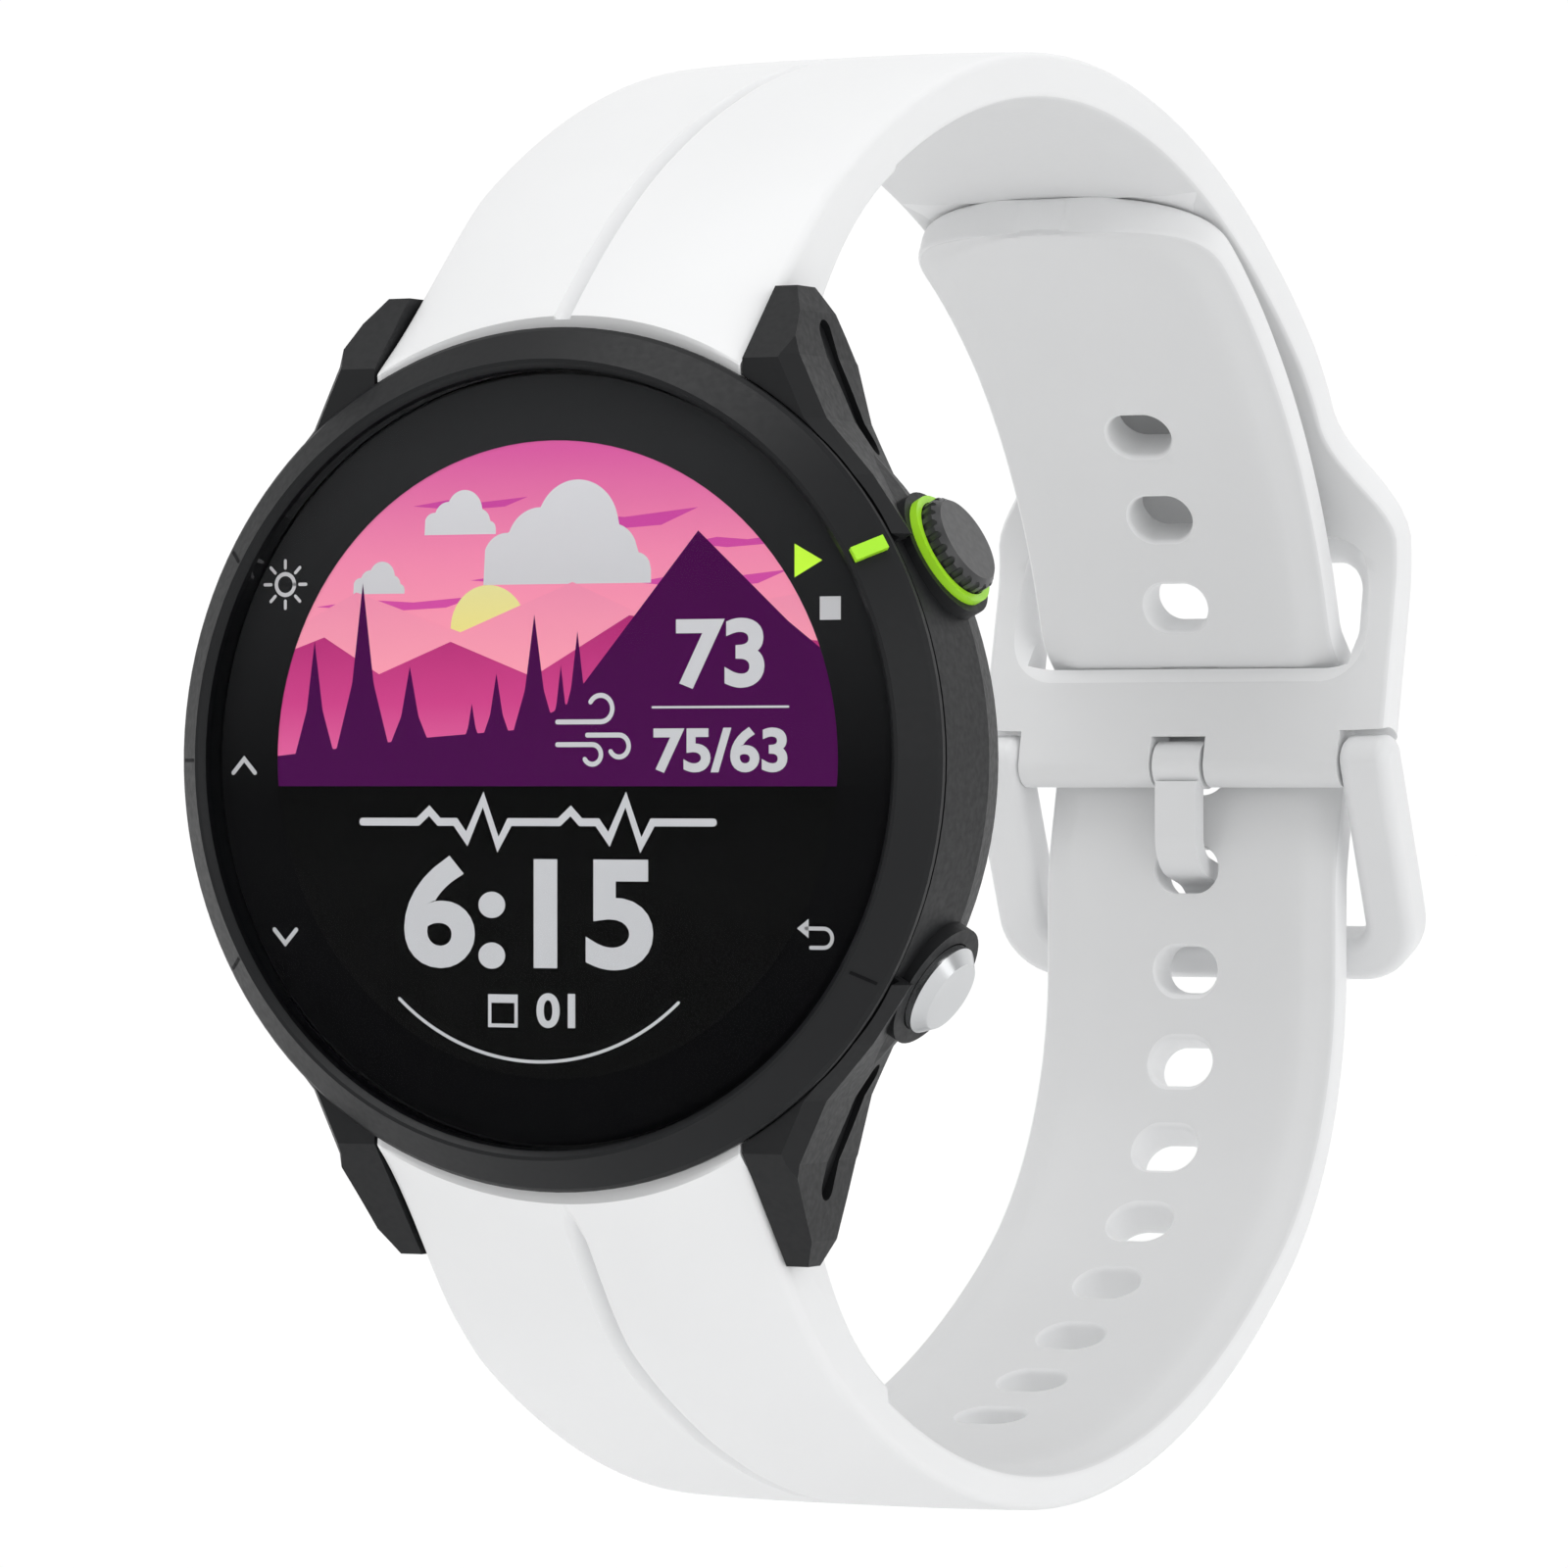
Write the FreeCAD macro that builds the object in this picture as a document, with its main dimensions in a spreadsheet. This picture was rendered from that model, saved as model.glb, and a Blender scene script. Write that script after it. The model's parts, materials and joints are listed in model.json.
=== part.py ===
"""Running watch with five buttons on a closed silicone strap.

World frame: +X points to 3 o'clock, +Z to 12 o'clock and the dial faces -Y.
The origin is the middle of the sensor window on the back of the case, so the
wrist lies at +Y.  Heights in the sheet are measured from that window towards
the dial, so a height of 5 lies at Y = -5.
"""
import FreeCAD
import Part
import math
import os
import Sketcher

Vector = FreeCAD.Vector
Placement = FreeCAD.Placement
Rotation = FreeCAD.Rotation

# ---------------------------------------------------------------- driving sizes
SIZES = {
    # case, radii about the dial axis
    "case_radius": 22.6,
    "bezel_radius": 22.9,
    "cavity_radius": 17.9,
    "lens_radius": 20.5,
    "lens_wall": 20.65,
    "shoulder_radius": 21.7,
    "back_seat": 21.05,
    "ledge_radius": 18.4,
    "display_radius": 17.8,
    # heights above the sensor window
    "case_bottom": 2.2,
    "back_top": 3.0,
    "battery_bottom": 3.3,
    "axis_height": 5.6,
    "board_bottom": 7.9,
    "frame_bottom": 8.8,
    "display_bottom": 9.95,
    "case_top": 10.4,
    "band_top": 10.1,
    "ledge_top": 10.9,
    "lens_bottom": 11.3,
    "lens_top": 12.75,
    "bezel_top": 12.9,
    "bezel_slope_end": 11.45,
    "bezel_edge": 11.2,
    # lugs and spring bars
    "lug_inner": 11.1,
    "lug_reach": 10.0,
    "lug_widest": 9.8,
    "lug_rear": 1.5,
    "lug_flat": 19.4,
    "bar_reach": 22.3,
    "bar_height": 5.2,
    "bar_radius": 0.9,
    "tip_radius": 0.4,
    "tip_hole": 0.45,
    "tip_reach": 12.3,
    # push buttons
    "cap_radius": 2.6,
    "start_cap_radius": 2.7,
    "cap_inner_end": 21.8,
    "cap_outer_end": 24.1,
    "start_cap_outer_end": 24.5,
    "collar_radius": 3.5,
    "start_collar_radius": 3.6,
    "collar_end": 23.1,
    "well_floor": 21.0,
    "stem_radius": 1.0,
    "stem_end": 17.2,
    "running_gap": 0.05,
    # strap
    "strap_width": 21.9,
    "strap_end_width": 20.0,
    "strap_thickness": 2.6,
    "loop_radius": 57.6,
    "loop_middle": 30.5,
    "loop_top": 40.6,
    "loop_bottom": 42.8,
    "knuckle_radius": 2.4,
    "hole_pitch": 6.2,
    "hole_length": 3.0,
    "hole_width": 4.2,
    "groove_width": 1.0,
    "groove_depth": 0.5,
    "keeper_width": 28.6,
    "slot_width": 24.4,
    # buckle
    "pin_depth": 71.2,
    "pin_height": -0.1,
    "pin_radius": 0.7,
    "frame_opening": 22.0,
    "tongue_width": 2.8,
    "groove_outer": 18.8,
    "groove_inner": 18.2,
    "back_seal_outer": 18.75,
    "back_seal_inner": 18.25,
    "gasket_outer": 20.4,
    "gasket_inner": 18.6,
    "frame_radius": 16.8,
    "frame_window": 11.0,
    "antenna_inner": 16.9,
    "board_radius": 17.6,
    "flex_outer": 16.0,
    "flex_inner": 15.75,
    "grip_radius": 0.22,
    "start_ring_radius": 3.15,
    "frame_left": -14.3,
    "frame_right": 14.3,
    "opening_left": -11.0,
    "opening_right": 11.0,
}

BUTTON_ANGLES = {"start": 28.0, "back": -31.0, "light": 150.0, "up": 180.0, "down": 210.0}
# each lug's side view: reach of the tip, start of the front slope, tip height, tip underside
LUG_TIPS = {"top": (25.0, 21.0, 7.1, 5.0), "bottom": (26.8, 20.6, 5.8, 4.4)}
# each lug's outer edge seen from the front, at three heights, from the tip to the button guard;
# the first corner lies on the tip and None stands for the corner just short of it
LUG_PLAN = {
    "ledge_top": [(11.8, None), (12.6, None), (13.1, 21.2), (14.7, 17.8), (17.5, 14.8), (19.7, 11.7)],
    "lug_widest": [(12.4, None), (13.3, None), (13.9, 21.2), (15.5, 17.8), (18.2, 14.8), (20.4, 11.7)],
    "lug_rear": [(12.4, None), (13.0, None), (13.3, 21.2), (14.2, 17.8), (15.6, 14.8), (17.0, 11.7)],
}

doc = FreeCAD.newDocument("running_watch")
sheet = doc.addObject("Spreadsheet::Sheet", "sizes")
for row, (alias, number) in enumerate(SIZES.items(), start=1):
    sheet.set("A%d" % row, alias)
    sheet.set("B%d" % row, str(number))
    sheet.setAlias("B%d" % row, alias)
doc.recompute()


def size(alias):
    """Value of one cell of the sheet."""
    return float(sheet.get(alias))


nodes = []


def keep(thing, label):
    """Name a finished sub-part and put it on the list of pieces."""
    thing.Label = label
    nodes.append(thing)
    return thing


# ---------------------------------------------------------------- small helpers
FACING_DIAL = Rotation(Vector(1, 0, 0), 90)


def facing_dial(height=0.0, across=0.0, up=0.0):
    """Placement whose local Z points out of the dial, at a height above the window."""
    return Placement(Vector(across, -height, up), FACING_DIAL)


def radial(angle, distance, height):
    """Placement whose local Z points away from the dial axis at the given clock angle."""
    turn = math.radians(angle)
    outward = Vector(math.cos(turn), 0, math.sin(turn))
    base = outward * distance + Vector(0, -height, 0)
    return Placement(base, Rotation(Vector(0, 0, 1), outward))


def along_x(start, depth, up):
    """Placement whose local Z points to 3 o'clock."""
    return Placement(Vector(start, depth, up), Rotation(Vector(0, 1, 0), 90))


def cylinder(name, radius, height, placement):
    """Part::Cylinder; radius and height are expressions on the sheet."""
    item = doc.addObject("Part::Cylinder", name)
    item.setExpression("Radius", radius)
    item.setExpression("Height", height)
    item.Placement = placement
    return item


def box(name, length, width, height, placement):
    """Part::Box whose three sides are expressions on the sheet."""
    item = doc.addObject("Part::Box", name)
    item.setExpression("Length", length)
    item.setExpression("Width", width)
    item.setExpression("Height", height)
    item.Placement = placement
    return item


def fuse(name, items):
    item = doc.addObject("Part::MultiFuse", name)
    item.Shapes = items
    return item


def cut(name, base, tools):
    item = doc.addObject("Part::Cut", name)
    item.Base = base
    item.Tool = tools[0] if len(tools) == 1 else fuse(name + "_tools", tools)
    return item


def group(name, items):
    """Several separate solids that make one node."""
    item = doc.addObject("Part::Compound", name)
    item.Links = items
    return item


def solid(name, shape):
    """Part::Feature for a shape that neither a body nor a primitive makes."""
    item = doc.addObject("Part::Feature", name)
    item.Shape = shape
    return item


def origin_plane(body, role):
    for feature in body.Origin.OriginFeatures:
        if feature.Role == role:
            return feature
    raise RuntimeError("no plane " + role)


def new_sketch(body, name, role="XY_Plane", offset=None):
    sketch = body.newObject("Sketcher::SketchObject", name)
    sketch.AttachmentSupport = [(origin_plane(body, role), "")]
    sketch.MapMode = "FlatFace"
    if offset is not None:
        sketch.setExpression("AttachmentOffset.Base.z", offset)
    return sketch


def bind(sketch, constraint, expression):
    index = sketch.addConstraint(constraint)
    sketch.setExpression("Constraints[%d]" % index, expression)


def add_circle(sketch, radius_name, across=0.0, up=0.0):
    """Circle whose radius is bound to one cell."""
    circle = sketch.addGeometry(
        Part.Circle(Vector(across, up, 0), Vector(0, 0, 1), size(radius_name)))
    if across == 0.0 and up == 0.0:
        sketch.addConstraint(Sketcher.Constraint("Coincident", circle, 3, -1, 1))
    bind(sketch, Sketcher.Constraint("Radius", circle, size(radius_name)), "sizes." + radius_name)


def add_polygon(sketch, corners):
    """Closed outline; every corner's two coordinates are numbers or names of cells."""
    points = []
    for corner in corners:
        pair = [size(value) if isinstance(value, str) else value for value in corner]
        points.append(Vector(pair[0], pair[1], 0))
    first = sketch.GeometryCount
    for index, point in enumerate(points):
        following = points[(index + 1) % len(points)]
        sketch.addGeometry(Part.LineSegment(point, following))
    for index in range(len(points)):
        after = first + (index + 1) % len(points)
        sketch.addConstraint(Sketcher.Constraint("Coincident", first + index, 2, after, 1))
    for index, corner in enumerate(corners):
        line = first + index
        for kind, value, number in (("DistanceX", corner[0], points[index].x),
                                    ("DistanceY", corner[1], points[index].y)):
            rule = Sketcher.Constraint(kind, -1, 1, line, 1, number)
            if isinstance(value, str):
                bind(sketch, rule, "sizes." + value)
            else:
                sketch.addConstraint(rule)


def pad(body, sketch, length, both_ways=False):
    feature = body.newObject("PartDesign::Pad", sketch.Name + "_pad")
    feature.Profile = sketch
    feature.setExpression("Length", length)
    feature.Midplane = both_ways
    return feature


def disc(label, radius_name, bottom, thickness, inner_name=None):
    """Round plate or ring on the dial axis, made as a padded sketch."""
    body = doc.addObject("PartDesign::Body", label)
    outline = new_sketch(body, label + "_outline", "XY_Plane", bottom)
    add_circle(outline, radius_name)
    if inner_name is not None:
        add_circle(outline, inner_name)
    body.Tip = pad(body, outline, thickness)
    body.Placement = facing_dial()
    return body


def turned(label, corners):
    """Body of revolution about the dial axis; corners are (radius, height)."""
    body = doc.addObject("PartDesign::Body", label)
    outline = new_sketch(body, label + "_outline", "XZ_Plane")
    add_polygon(outline, corners)
    feature = body.newObject("PartDesign::Revolution", label + "_turn")
    feature.Profile = outline
    feature.ReferenceAxis = (outline, ["V_Axis"])
    feature.Angle = 360
    body.Tip = feature
    body.Placement = facing_dial()
    return body


def dress(body, kind, name, amount, wanted):
    """Fillet or chamfer the edges of a body's tip that pass a test."""
    doc.recompute()
    base = body.Tip
    edges = ["Edge%d" % index for index, edge in enumerate(base.Shape.Edges, start=1) if wanted(edge)]
    feature = body.newObject("PartDesign::" + kind, name)
    feature.Base = (base, edges)
    if kind == "Fillet":
        feature.Radius = amount
    else:
        feature.Size = amount
    body.Tip = feature
    doc.recompute()


# ---------------------------------------------------------------- case
def make_lug(side, end):
    """One lug: its side view and its front view, both run through, and what they share."""
    name = "lug_%s_%s" % ("right" if side > 0 else "left", "top" if end > 0 else "bottom")
    tip, slope_start, tip_height, tip_low = LUG_TIPS["top" if end > 0 else "bottom"]
    flank = doc.addObject("PartDesign::Body", name + "_flank")
    start = "sizes.lug_inner" if side > 0 else "-sizes.lug_inner - sizes.lug_reach"
    outline = new_sketch(flank, name + "_side_view", "YZ_Plane", start)
    add_polygon(outline, [
        (end * 8.0, "ledge_top"), (end * slope_start, "ledge_top"), (end * tip, tip_height),
        (end * tip, tip_low), (end * 21.0, 1.9), (end * 16.5, 2.1), (end * 8.0, 2.1)])
    flank.Tip = pad(flank, outline, "sizes.lug_reach")
    flank.Placement = facing_dial()
    plan = doc.addObject("PartDesign::Body", name + "_plan")
    levels = []
    for level, edge in LUG_PLAN.items():
        sketch = new_sketch(plan, name + "_" + level, "XY_Plane", "sizes." + level)
        corners = [(11.1, 13.8), (11.1, tip + 0.5), (edge[0][0], tip + 0.5), (edge[0][0], tip)]
        corners += [(x, tip - 1.4 if z is None else z) for x, z in edge[1:]] + [(15.0, 8.7)]
        add_polygon(sketch, [(side * x, end * z) for x, z in corners])
        levels.append(sketch)
    loft = plan.newObject("PartDesign::AdditiveLoft", name + "_loft")
    loft.Profile = levels[0]
    loft.Sections = levels[1:]
    loft.Ruled = True
    plan.Tip = loft
    plan.Placement = facing_dial()
    shared = doc.addObject("Part::MultiCommon", name)
    shared.Shapes = [flank, plan]
    return shared


def lug_side_slot(side, end):
    """Slanted recess in the outer face of a lug, round at both ends."""
    slot_radius = 0.75
    slot_room = 3.0
    low = Vector(side * 14.3, -3.7, end * 16.6)
    high = Vector(side * 12.9, -5.6, end * 22.4)
    run = high - low
    run.normalize()
    outward = Vector(side, 0, 0)
    outward = outward - run * outward.dot(run)
    outward.normalize()
    across = run.cross(outward)
    corners = [low + across * slot_radius, high + across * slot_radius,
               high - across * slot_radius, low - across * slot_radius]
    bar = Part.Face(Part.makePolygon(corners + corners[:1])).extrude(outward * slot_room)
    ends = [Part.makeCylinder(slot_radius, slot_room, point, outward) for point in (low, high)]
    return solid("lug_slot", bar.fuse(ends).removeSplitter())


def strap_recess(end):
    """Flat between two lugs, where the end of the strap turns."""
    item = box("strap_recess", "2 * sizes.lug_inner", "12", "6", Placement())
    low = size("lug_flat") if end > 0 else -size("lug_flat") - 6.0
    item.Placement = Placement(Vector(-size("lug_inner"), -size("case_top") - 0.01, low), Rotation())
    return item


def make_case_housing():
    ring = turned("case_ring", [
        ("cavity_radius", "back_top"), ("cavity_radius", "case_top"), ("shoulder_radius", "case_top"),
        ("shoulder_radius", "band_top"), ("case_radius", "band_top"), ("case_radius", 5.0), (21.8, "case_bottom"),
        ("back_seat", "case_bottom"), ("back_seat", "back_top")])
    solids = [ring]
    for side in (-1, 1):
        for end in (-1, 1):
            solids.append(make_lug(side, end))
    for name, angle in BUTTON_ANGLES.items():
        collar = "sizes.start_collar_radius" if name == "start" else "sizes.collar_radius"
        solids.append(cylinder(name + "_collar", collar, "sizes.collar_end - 20.2",
                               radial(angle, 20.2, size("axis_height"))))
    body = fuse("case_outside", solids)
    tools = [
        cylinder("bezel_room", "sizes.bezel_radius + 0.06", "5", facing_dial(size("band_top"))),
        cylinder("back_room", "sizes.back_seat", "4", facing_dial(size("back_top") - 4.0)),
        cylinder("cavity_room", "sizes.cavity_radius", "12", facing_dial(0.0)),
    ]
    trimmed = cut("case_trimmed", body, tools)
    rim = turned("case_rim", [
        ("cavity_radius", 10.0), ("cavity_radius", "case_top"), ("shoulder_radius", "case_top"),
        ("shoulder_radius", 10.0)])
    whole = fuse("case_whole", [trimmed, rim])
    bores = []
    for name, angle in BUTTON_ANGLES.items():
        cap = "sizes.start_cap_radius" if name == "start" else "sizes.cap_radius"
        height = size("axis_height")
        bores.append(cylinder(name + "_well", cap + " + sizes.running_gap", "8",
                              radial(angle, size("well_floor"), height)))
        bores.append(cylinder(name + "_guide", "sizes.stem_radius + sizes.running_gap", "2",
                              radial(angle, 19.6, height)))
        bores.append(cylinder(name + "_seal_bore", "1.45", "3.2", radial(angle, 17.0, height)))
        bores.append(cylinder(name + "_spot_face", "2.4", "2", radial(angle, 16.0, height)))
    for end in (-1, 1):
        bores.append(strap_recess(end))
        reach = size("tip_reach") + 0.2
        bores.append(cylinder("bar_bore", "sizes.tip_hole", str(2 * reach),
                              along_x(-reach, -size("bar_height"), end * size("bar_reach"))))
        for side in (-1, 1):
            bores.append(lug_side_slot(side, end))
    for x, z in screw_places():
        bores.append(cylinder("screw_thread", "0.5", "2.3", facing_dial(size("back_top") - 0.1, x, z)))
    groove = disc("seal_groove", "groove_outer", "2.9", "0.5", "groove_inner")
    bores.append(groove)
    return keep(cut("case_housing", whole, bores), "case_housing")


def screw_places():
    """Centres of the four screws, on the diagonals of the case."""
    screw_circle = 19.5
    places = []
    for corner in range(4):
        turn = math.radians(45 + 90 * corner)
        places.append((screw_circle * math.cos(turn), screw_circle * math.sin(turn)))
    return places


def make_bezel():
    """Conical ring that falls away from the glass, with the start marker let into it."""
    ring = turned("bezel_turned", [
        ("ledge_radius", "case_top"), ("ledge_radius", "ledge_top"), ("lens_wall", "ledge_top"),
        ("lens_wall", 12.6), (20.95, "bezel_top"), (21.15, "bezel_top"), (22.72, "bezel_slope_end"),
        ("bezel_radius", "bezel_edge"), ("bezel_radius", "ledge_top"),
        ("shoulder_radius", "ledge_top"), ("shoulder_radius", "case_top")])
    marker = make_start_marker()
    keep(cut("bezel_cut", ring, [marker]), "bezel_ring")


def make_start_marker():
    """Raised tick along the slope of the bezel beside the start button."""
    angle = BUTTON_ANGLES["start"] + 1.5
    slope = math.degrees(math.atan2(size("bezel_top") - size("bezel_slope_end"), 22.72 - 21.15))
    length = 1.9
    width = 0.75
    thickness = 0.6
    marker = box("start_marker", str(length), str(thickness), str(width), Placement())
    out = Rotation(Vector(0, 1, 0), -angle)
    lean = Rotation(Vector(0, 0, 1), slope)
    middle = Vector(21.93, -(size("bezel_top") + size("bezel_slope_end")) / 2.0, 0)
    corner = lean.multVec(Vector(-length / 2.0, -thickness / 2.0 - 0.12, -width / 2.0))
    marker.Placement = Placement(out.multVec(middle + corner), out.multiply(lean))
    return keep(marker, "start_marker")


def make_lens():
    body = disc("cover_lens", "lens_radius", "sizes.lens_bottom", "sizes.lens_top - sizes.lens_bottom")
    dress(body, "Chamfer", "lens_bevel", 0.3, lambda edge: isinstance(edge.Curve, Part.Circle) and
          edge.BoundBox.Center.z > size("lens_top") - 0.01)
    keep(body, "cover_lens")
    keep(disc("lens_gasket", "gasket_outer", "sizes.ledge_top",
              "sizes.lens_bottom - sizes.ledge_top", "gasket_inner"), "lens_gasket")


def make_inside():
    """Electronics, stacked from the display down to the battery."""
    keep(disc("display_module", "display_radius", "sizes.display_bottom",
              "sizes.lens_bottom - sizes.display_bottom - sizes.running_gap"), "display_module")
    keep(disc("inner_frame", "frame_radius", "sizes.frame_bottom",
              "sizes.display_bottom - sizes.frame_bottom - sizes.running_gap", "frame_window"),
         "inner_frame")
    keep(disc("gnss_antenna", "display_radius", "sizes.frame_bottom + 0.1", "0.9", "antenna_inner"),
         "gnss_antenna")
    keep(disc("main_board", "board_radius", "sizes.board_bottom", "0.8"), "main_board")
    cover_top = size("board_bottom")
    keep(box("shield_can", "18", "14", "1.1", facing_dial(cover_top - 1.1, -9.0, -7.0)), "shield_can")
    battery = box("battery_block", "16.4", "17.6", "3.3", facing_dial(size("battery_bottom"), -12.8, -8.8))
    rounded = doc.addObject("Part::Fillet", "battery_rounded")
    rounded.Base = battery
    doc.recompute()
    upright = [index for index, edge in enumerate(battery.Shape.Edges, start=1)
               if edge.BoundBox.YLength > 3.0]
    rounded.Edges = [(index, 1.2, 1.2) for index in upright]
    keep(rounded, "battery")
    keep(cylinder("vibration_motor", "3.7", "3.2", facing_dial(3.4, 8.3, -8.2)), "vibration_motor")
    keep(cylinder("sounder", "3.4", "2.2", facing_dial(4.4, 8.4, 8.2)), "sounder")
    keep(disc("button_flex", "flex_outer", "4.3", "2.6", "flex_inner"), "button_flex")
    switches = []
    for name, angle in BUTTON_ANGLES.items():
        base = cylinder(name + "_switch_base", "1.3", "0.5", radial(angle, 16.05, size("axis_height")))
        dome = cylinder(name + "_switch_dome", "0.8", "0.6", radial(angle, 16.55, size("axis_height")))
        switches.append(fuse(name + "_switch", [base, dome]))
    keep(group("button_switches", switches), "button_switches")


def make_back():
    plate = turned("back_plate", [
        (10.6, 0.75), (17.2, 1.15), (21.0, "case_bottom"), (21.0, "back_top"), (17.8, "back_top"),
        (17.8, 2.6), (10.6, 2.6)])
    insert_low = 1.6
    tools = [box("insert_room", "8.5", "4.2", "3", facing_dial(0.0, -4.25, -17.25))]
    for x, z in screw_places():
        tools.append(cylinder("head_room", "0.95", "2.3", facing_dial(0.0, x, z)))
        tools.append(cylinder("shank_room", "0.55", "3", facing_dial(1.0, x, z)))
    for end in (-1, 1):
        tools.append(strap_recess(end))
    keep(cut("case_back", plate, tools), "case_back")
    keep(disc("case_back_gasket", "back_seal_outer", "sizes.back_top", "0.38", "back_seal_inner"),
         "case_back_gasket")
    keep(turned("sensor_window", [
        (0.0, 0.0), (7.5, 0.0), (9.8, 0.4), (10.55, 0.9), (10.55, 2.2), (0.0, 2.2)]), "sensor_window")
    keep(cylinder("sensor_board", "9.6", "0.5", facing_dial(2.7)), "sensor_board")
    parts = []
    for count in range(4):
        turn = math.radians(90 * count)
        lamp = box("lamp", "1.6", "1.6", "0.45", Placement())
        lamp.Placement = facing_dial(2.22, 2.6 * math.cos(turn) - 0.8, 2.6 * math.sin(turn) - 0.8)
        parts.append(lamp)
        turn = math.radians(45 + 90 * count)
        eye = box("eye", "2.2", "2.2", "0.45", Placement())
        eye.Placement = facing_dial(2.22, 6.2 * math.cos(turn) - 1.1, 6.2 * math.sin(turn) - 1.1)
        parts.append(eye)
    keep(group("sensor_emitters", parts), "sensor_emitters")
    block = box("insert_block", "8.5", "4.2", "1", facing_dial(insert_low, -4.25, -17.25))
    holes = []
    pins = []
    for count in range(4):
        across = 1.9 * (count - 1.5)
        holes.append(cylinder("pin_room", "0.5", "3", facing_dial(0.5, across, -15.15)))
        pins.append(cylinder("contact", "0.5", "1.25", facing_dial(insert_low - 0.15, across, -15.15)))
    keep(cut("charging_insert", block, holes), "charging_insert")
    keep(group("charging_contacts", pins), "charging_contacts")
    screws = []
    for x, z in screw_places():
        head = cylinder("screw_head", "0.9", "0.5", facing_dial(1.8, x, z))
        shank = cylinder("screw_shank", "0.5", "2.7", facing_dial(2.3, x, z))
        slot = box("screw_slot", "1.3", "0.3", "0.25", facing_dial(1.79, x - 0.65, z - 0.15))
        screws.append(cut("screw", fuse("screw_solid", [head, shank]), [slot]))
    keep(group("case_back_screws", screws), "case_back_screws")


# ---------------------------------------------------------------- push buttons
def make_button(name, angle):
    """Cap and stem in one turned piece, with its seal and retaining clip."""
    is_start = name == "start"
    cap = "start_cap_radius" if is_start else "cap_radius"
    end = "start_cap_outer_end" if is_start else "cap_outer_end"
    stem = "stem_radius"
    edge = 0.35 if is_start else 0.6
    shape = turned(name + "_button", [
        (0.0, "stem_end"), (stem, "stem_end"), (stem, 17.65), (0.75, 17.65), (0.75, 17.95),
        (stem, 17.95), (stem, 19.0), (0.7, 19.0), (0.7, 19.8), (stem, 19.8), (stem, "cap_inner_end"),
        (cap, "cap_inner_end"), (cap, size(end) - edge), (size(cap) - edge, end), (0.0, end)])
    if is_start:
        notch = new_sketch(shape, "grip_notch", "XY_Plane", "sizes.cap_inner_end + 1.6")
        add_circle(notch, "grip_radius", size(cap) + 0.05)
        pocket = shape.newObject("PartDesign::Pocket", "grip_pocket")
        pocket.Profile = notch
        pocket.Length = 6
        pocket.Reversed = True
        pattern = shape.newObject("PartDesign::PolarPattern", "grip_pattern")
        pattern.Originals = [pocket]
        pattern.Angle = 360
        pattern.Occurrences = 22
        pattern.Axis = (origin_plane(shape, "Z_Axis"), [""])
        shape.Tip = pattern
    shape.Placement = radial(angle, 0.0, size("axis_height"))
    keep(shape, name + "_button")
    seal = doc.addObject("Part::Torus", name + "_button_seal")
    seal.setExpression("Radius1", "0.7 + 0.34")
    seal.setExpression("Radius2", "0.34")
    seal.Placement = radial(angle, 19.4, size("axis_height"))
    keep(seal, name + "_button_seal")
    plate = cylinder(name + "_clip_plate", "2.1", "0.3", radial(angle, 17.65, size("axis_height")))
    hole = cylinder(name + "_clip_hole", "0.75", "1", radial(angle, 17.3, size("axis_height")))
    mouth = box(name + "_clip_mouth", "1.5", "3", "1", Placement())
    mouth.Placement = radial(angle, 17.3, size("axis_height")).multiply(
        Placement(Vector(-0.75, 0, 0), Rotation()))
    keep(cut(name + "_button_clip", plate, [hole, mouth]), name + "_button_clip")


def make_buttons():
    for name, angle in BUTTON_ANGLES.items():
        make_button(name, angle)
    angle = BUTTON_ANGLES["start"]
    outer = cylinder("ring_outer", "sizes.start_ring_radius", "0.45",
                     radial(angle, size("collar_end"), size("axis_height")))
    inner = cylinder("ring_inner", "sizes.start_cap_radius + sizes.running_gap", "2",
                     radial(angle, size("collar_end") - 0.5, size("axis_height")))
    keep(cut("start_button_ring", outer, [inner]), "start_button_ring")


# ---------------------------------------------------------------- strap paths
# A path is drawn in the Y-Z plane.  Each move is (length, 0) for a straight
# stretch or (radius, turn) for a bend, the turn in degrees, left turns positive.
def along_path(start, heading, moves):
    """Yield every move with the point and heading at its two ends."""
    point = Vector(start)
    angle = math.radians(heading)
    for measure, turn in moves:
        forward = Vector(0, math.cos(angle), math.sin(angle))
        left = Vector(0, -math.sin(angle), math.cos(angle))
        if turn == 0:
            after = point + forward * measure
            centre = None
        else:
            side = 1 if turn > 0 else -1
            centre = point + left * (side * measure)
            new_left = Vector(0, -math.sin(angle + math.radians(turn)), math.cos(angle + math.radians(turn)))
            after = centre - new_left * (side * measure)
        yield point, angle, centre, measure, turn, after
        point = after
        angle += math.radians(turn)


def beside_path(start, heading, moves, offset):
    """Edges of the line that runs beside a path; a positive offset is to its left."""
    edges = []
    for point, angle, centre, measure, turn, after in along_path(start, heading, moves):
        left = Vector(0, -math.sin(angle), math.cos(angle))
        if turn == 0:
            edges.append(Part.makeLine(point + left * offset, after + left * offset))
            continue
        side = 1 if turn > 0 else -1
        reach = -side * measure + offset
        stations = []
        for share in (0.0, 0.5, 1.0):
            here = angle + math.radians(turn) * share
            stations.append(centre + Vector(0, -math.sin(here), math.cos(here)) * reach)
        edges.append(Part.Arc(*stations).toShape())
    return edges


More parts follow.
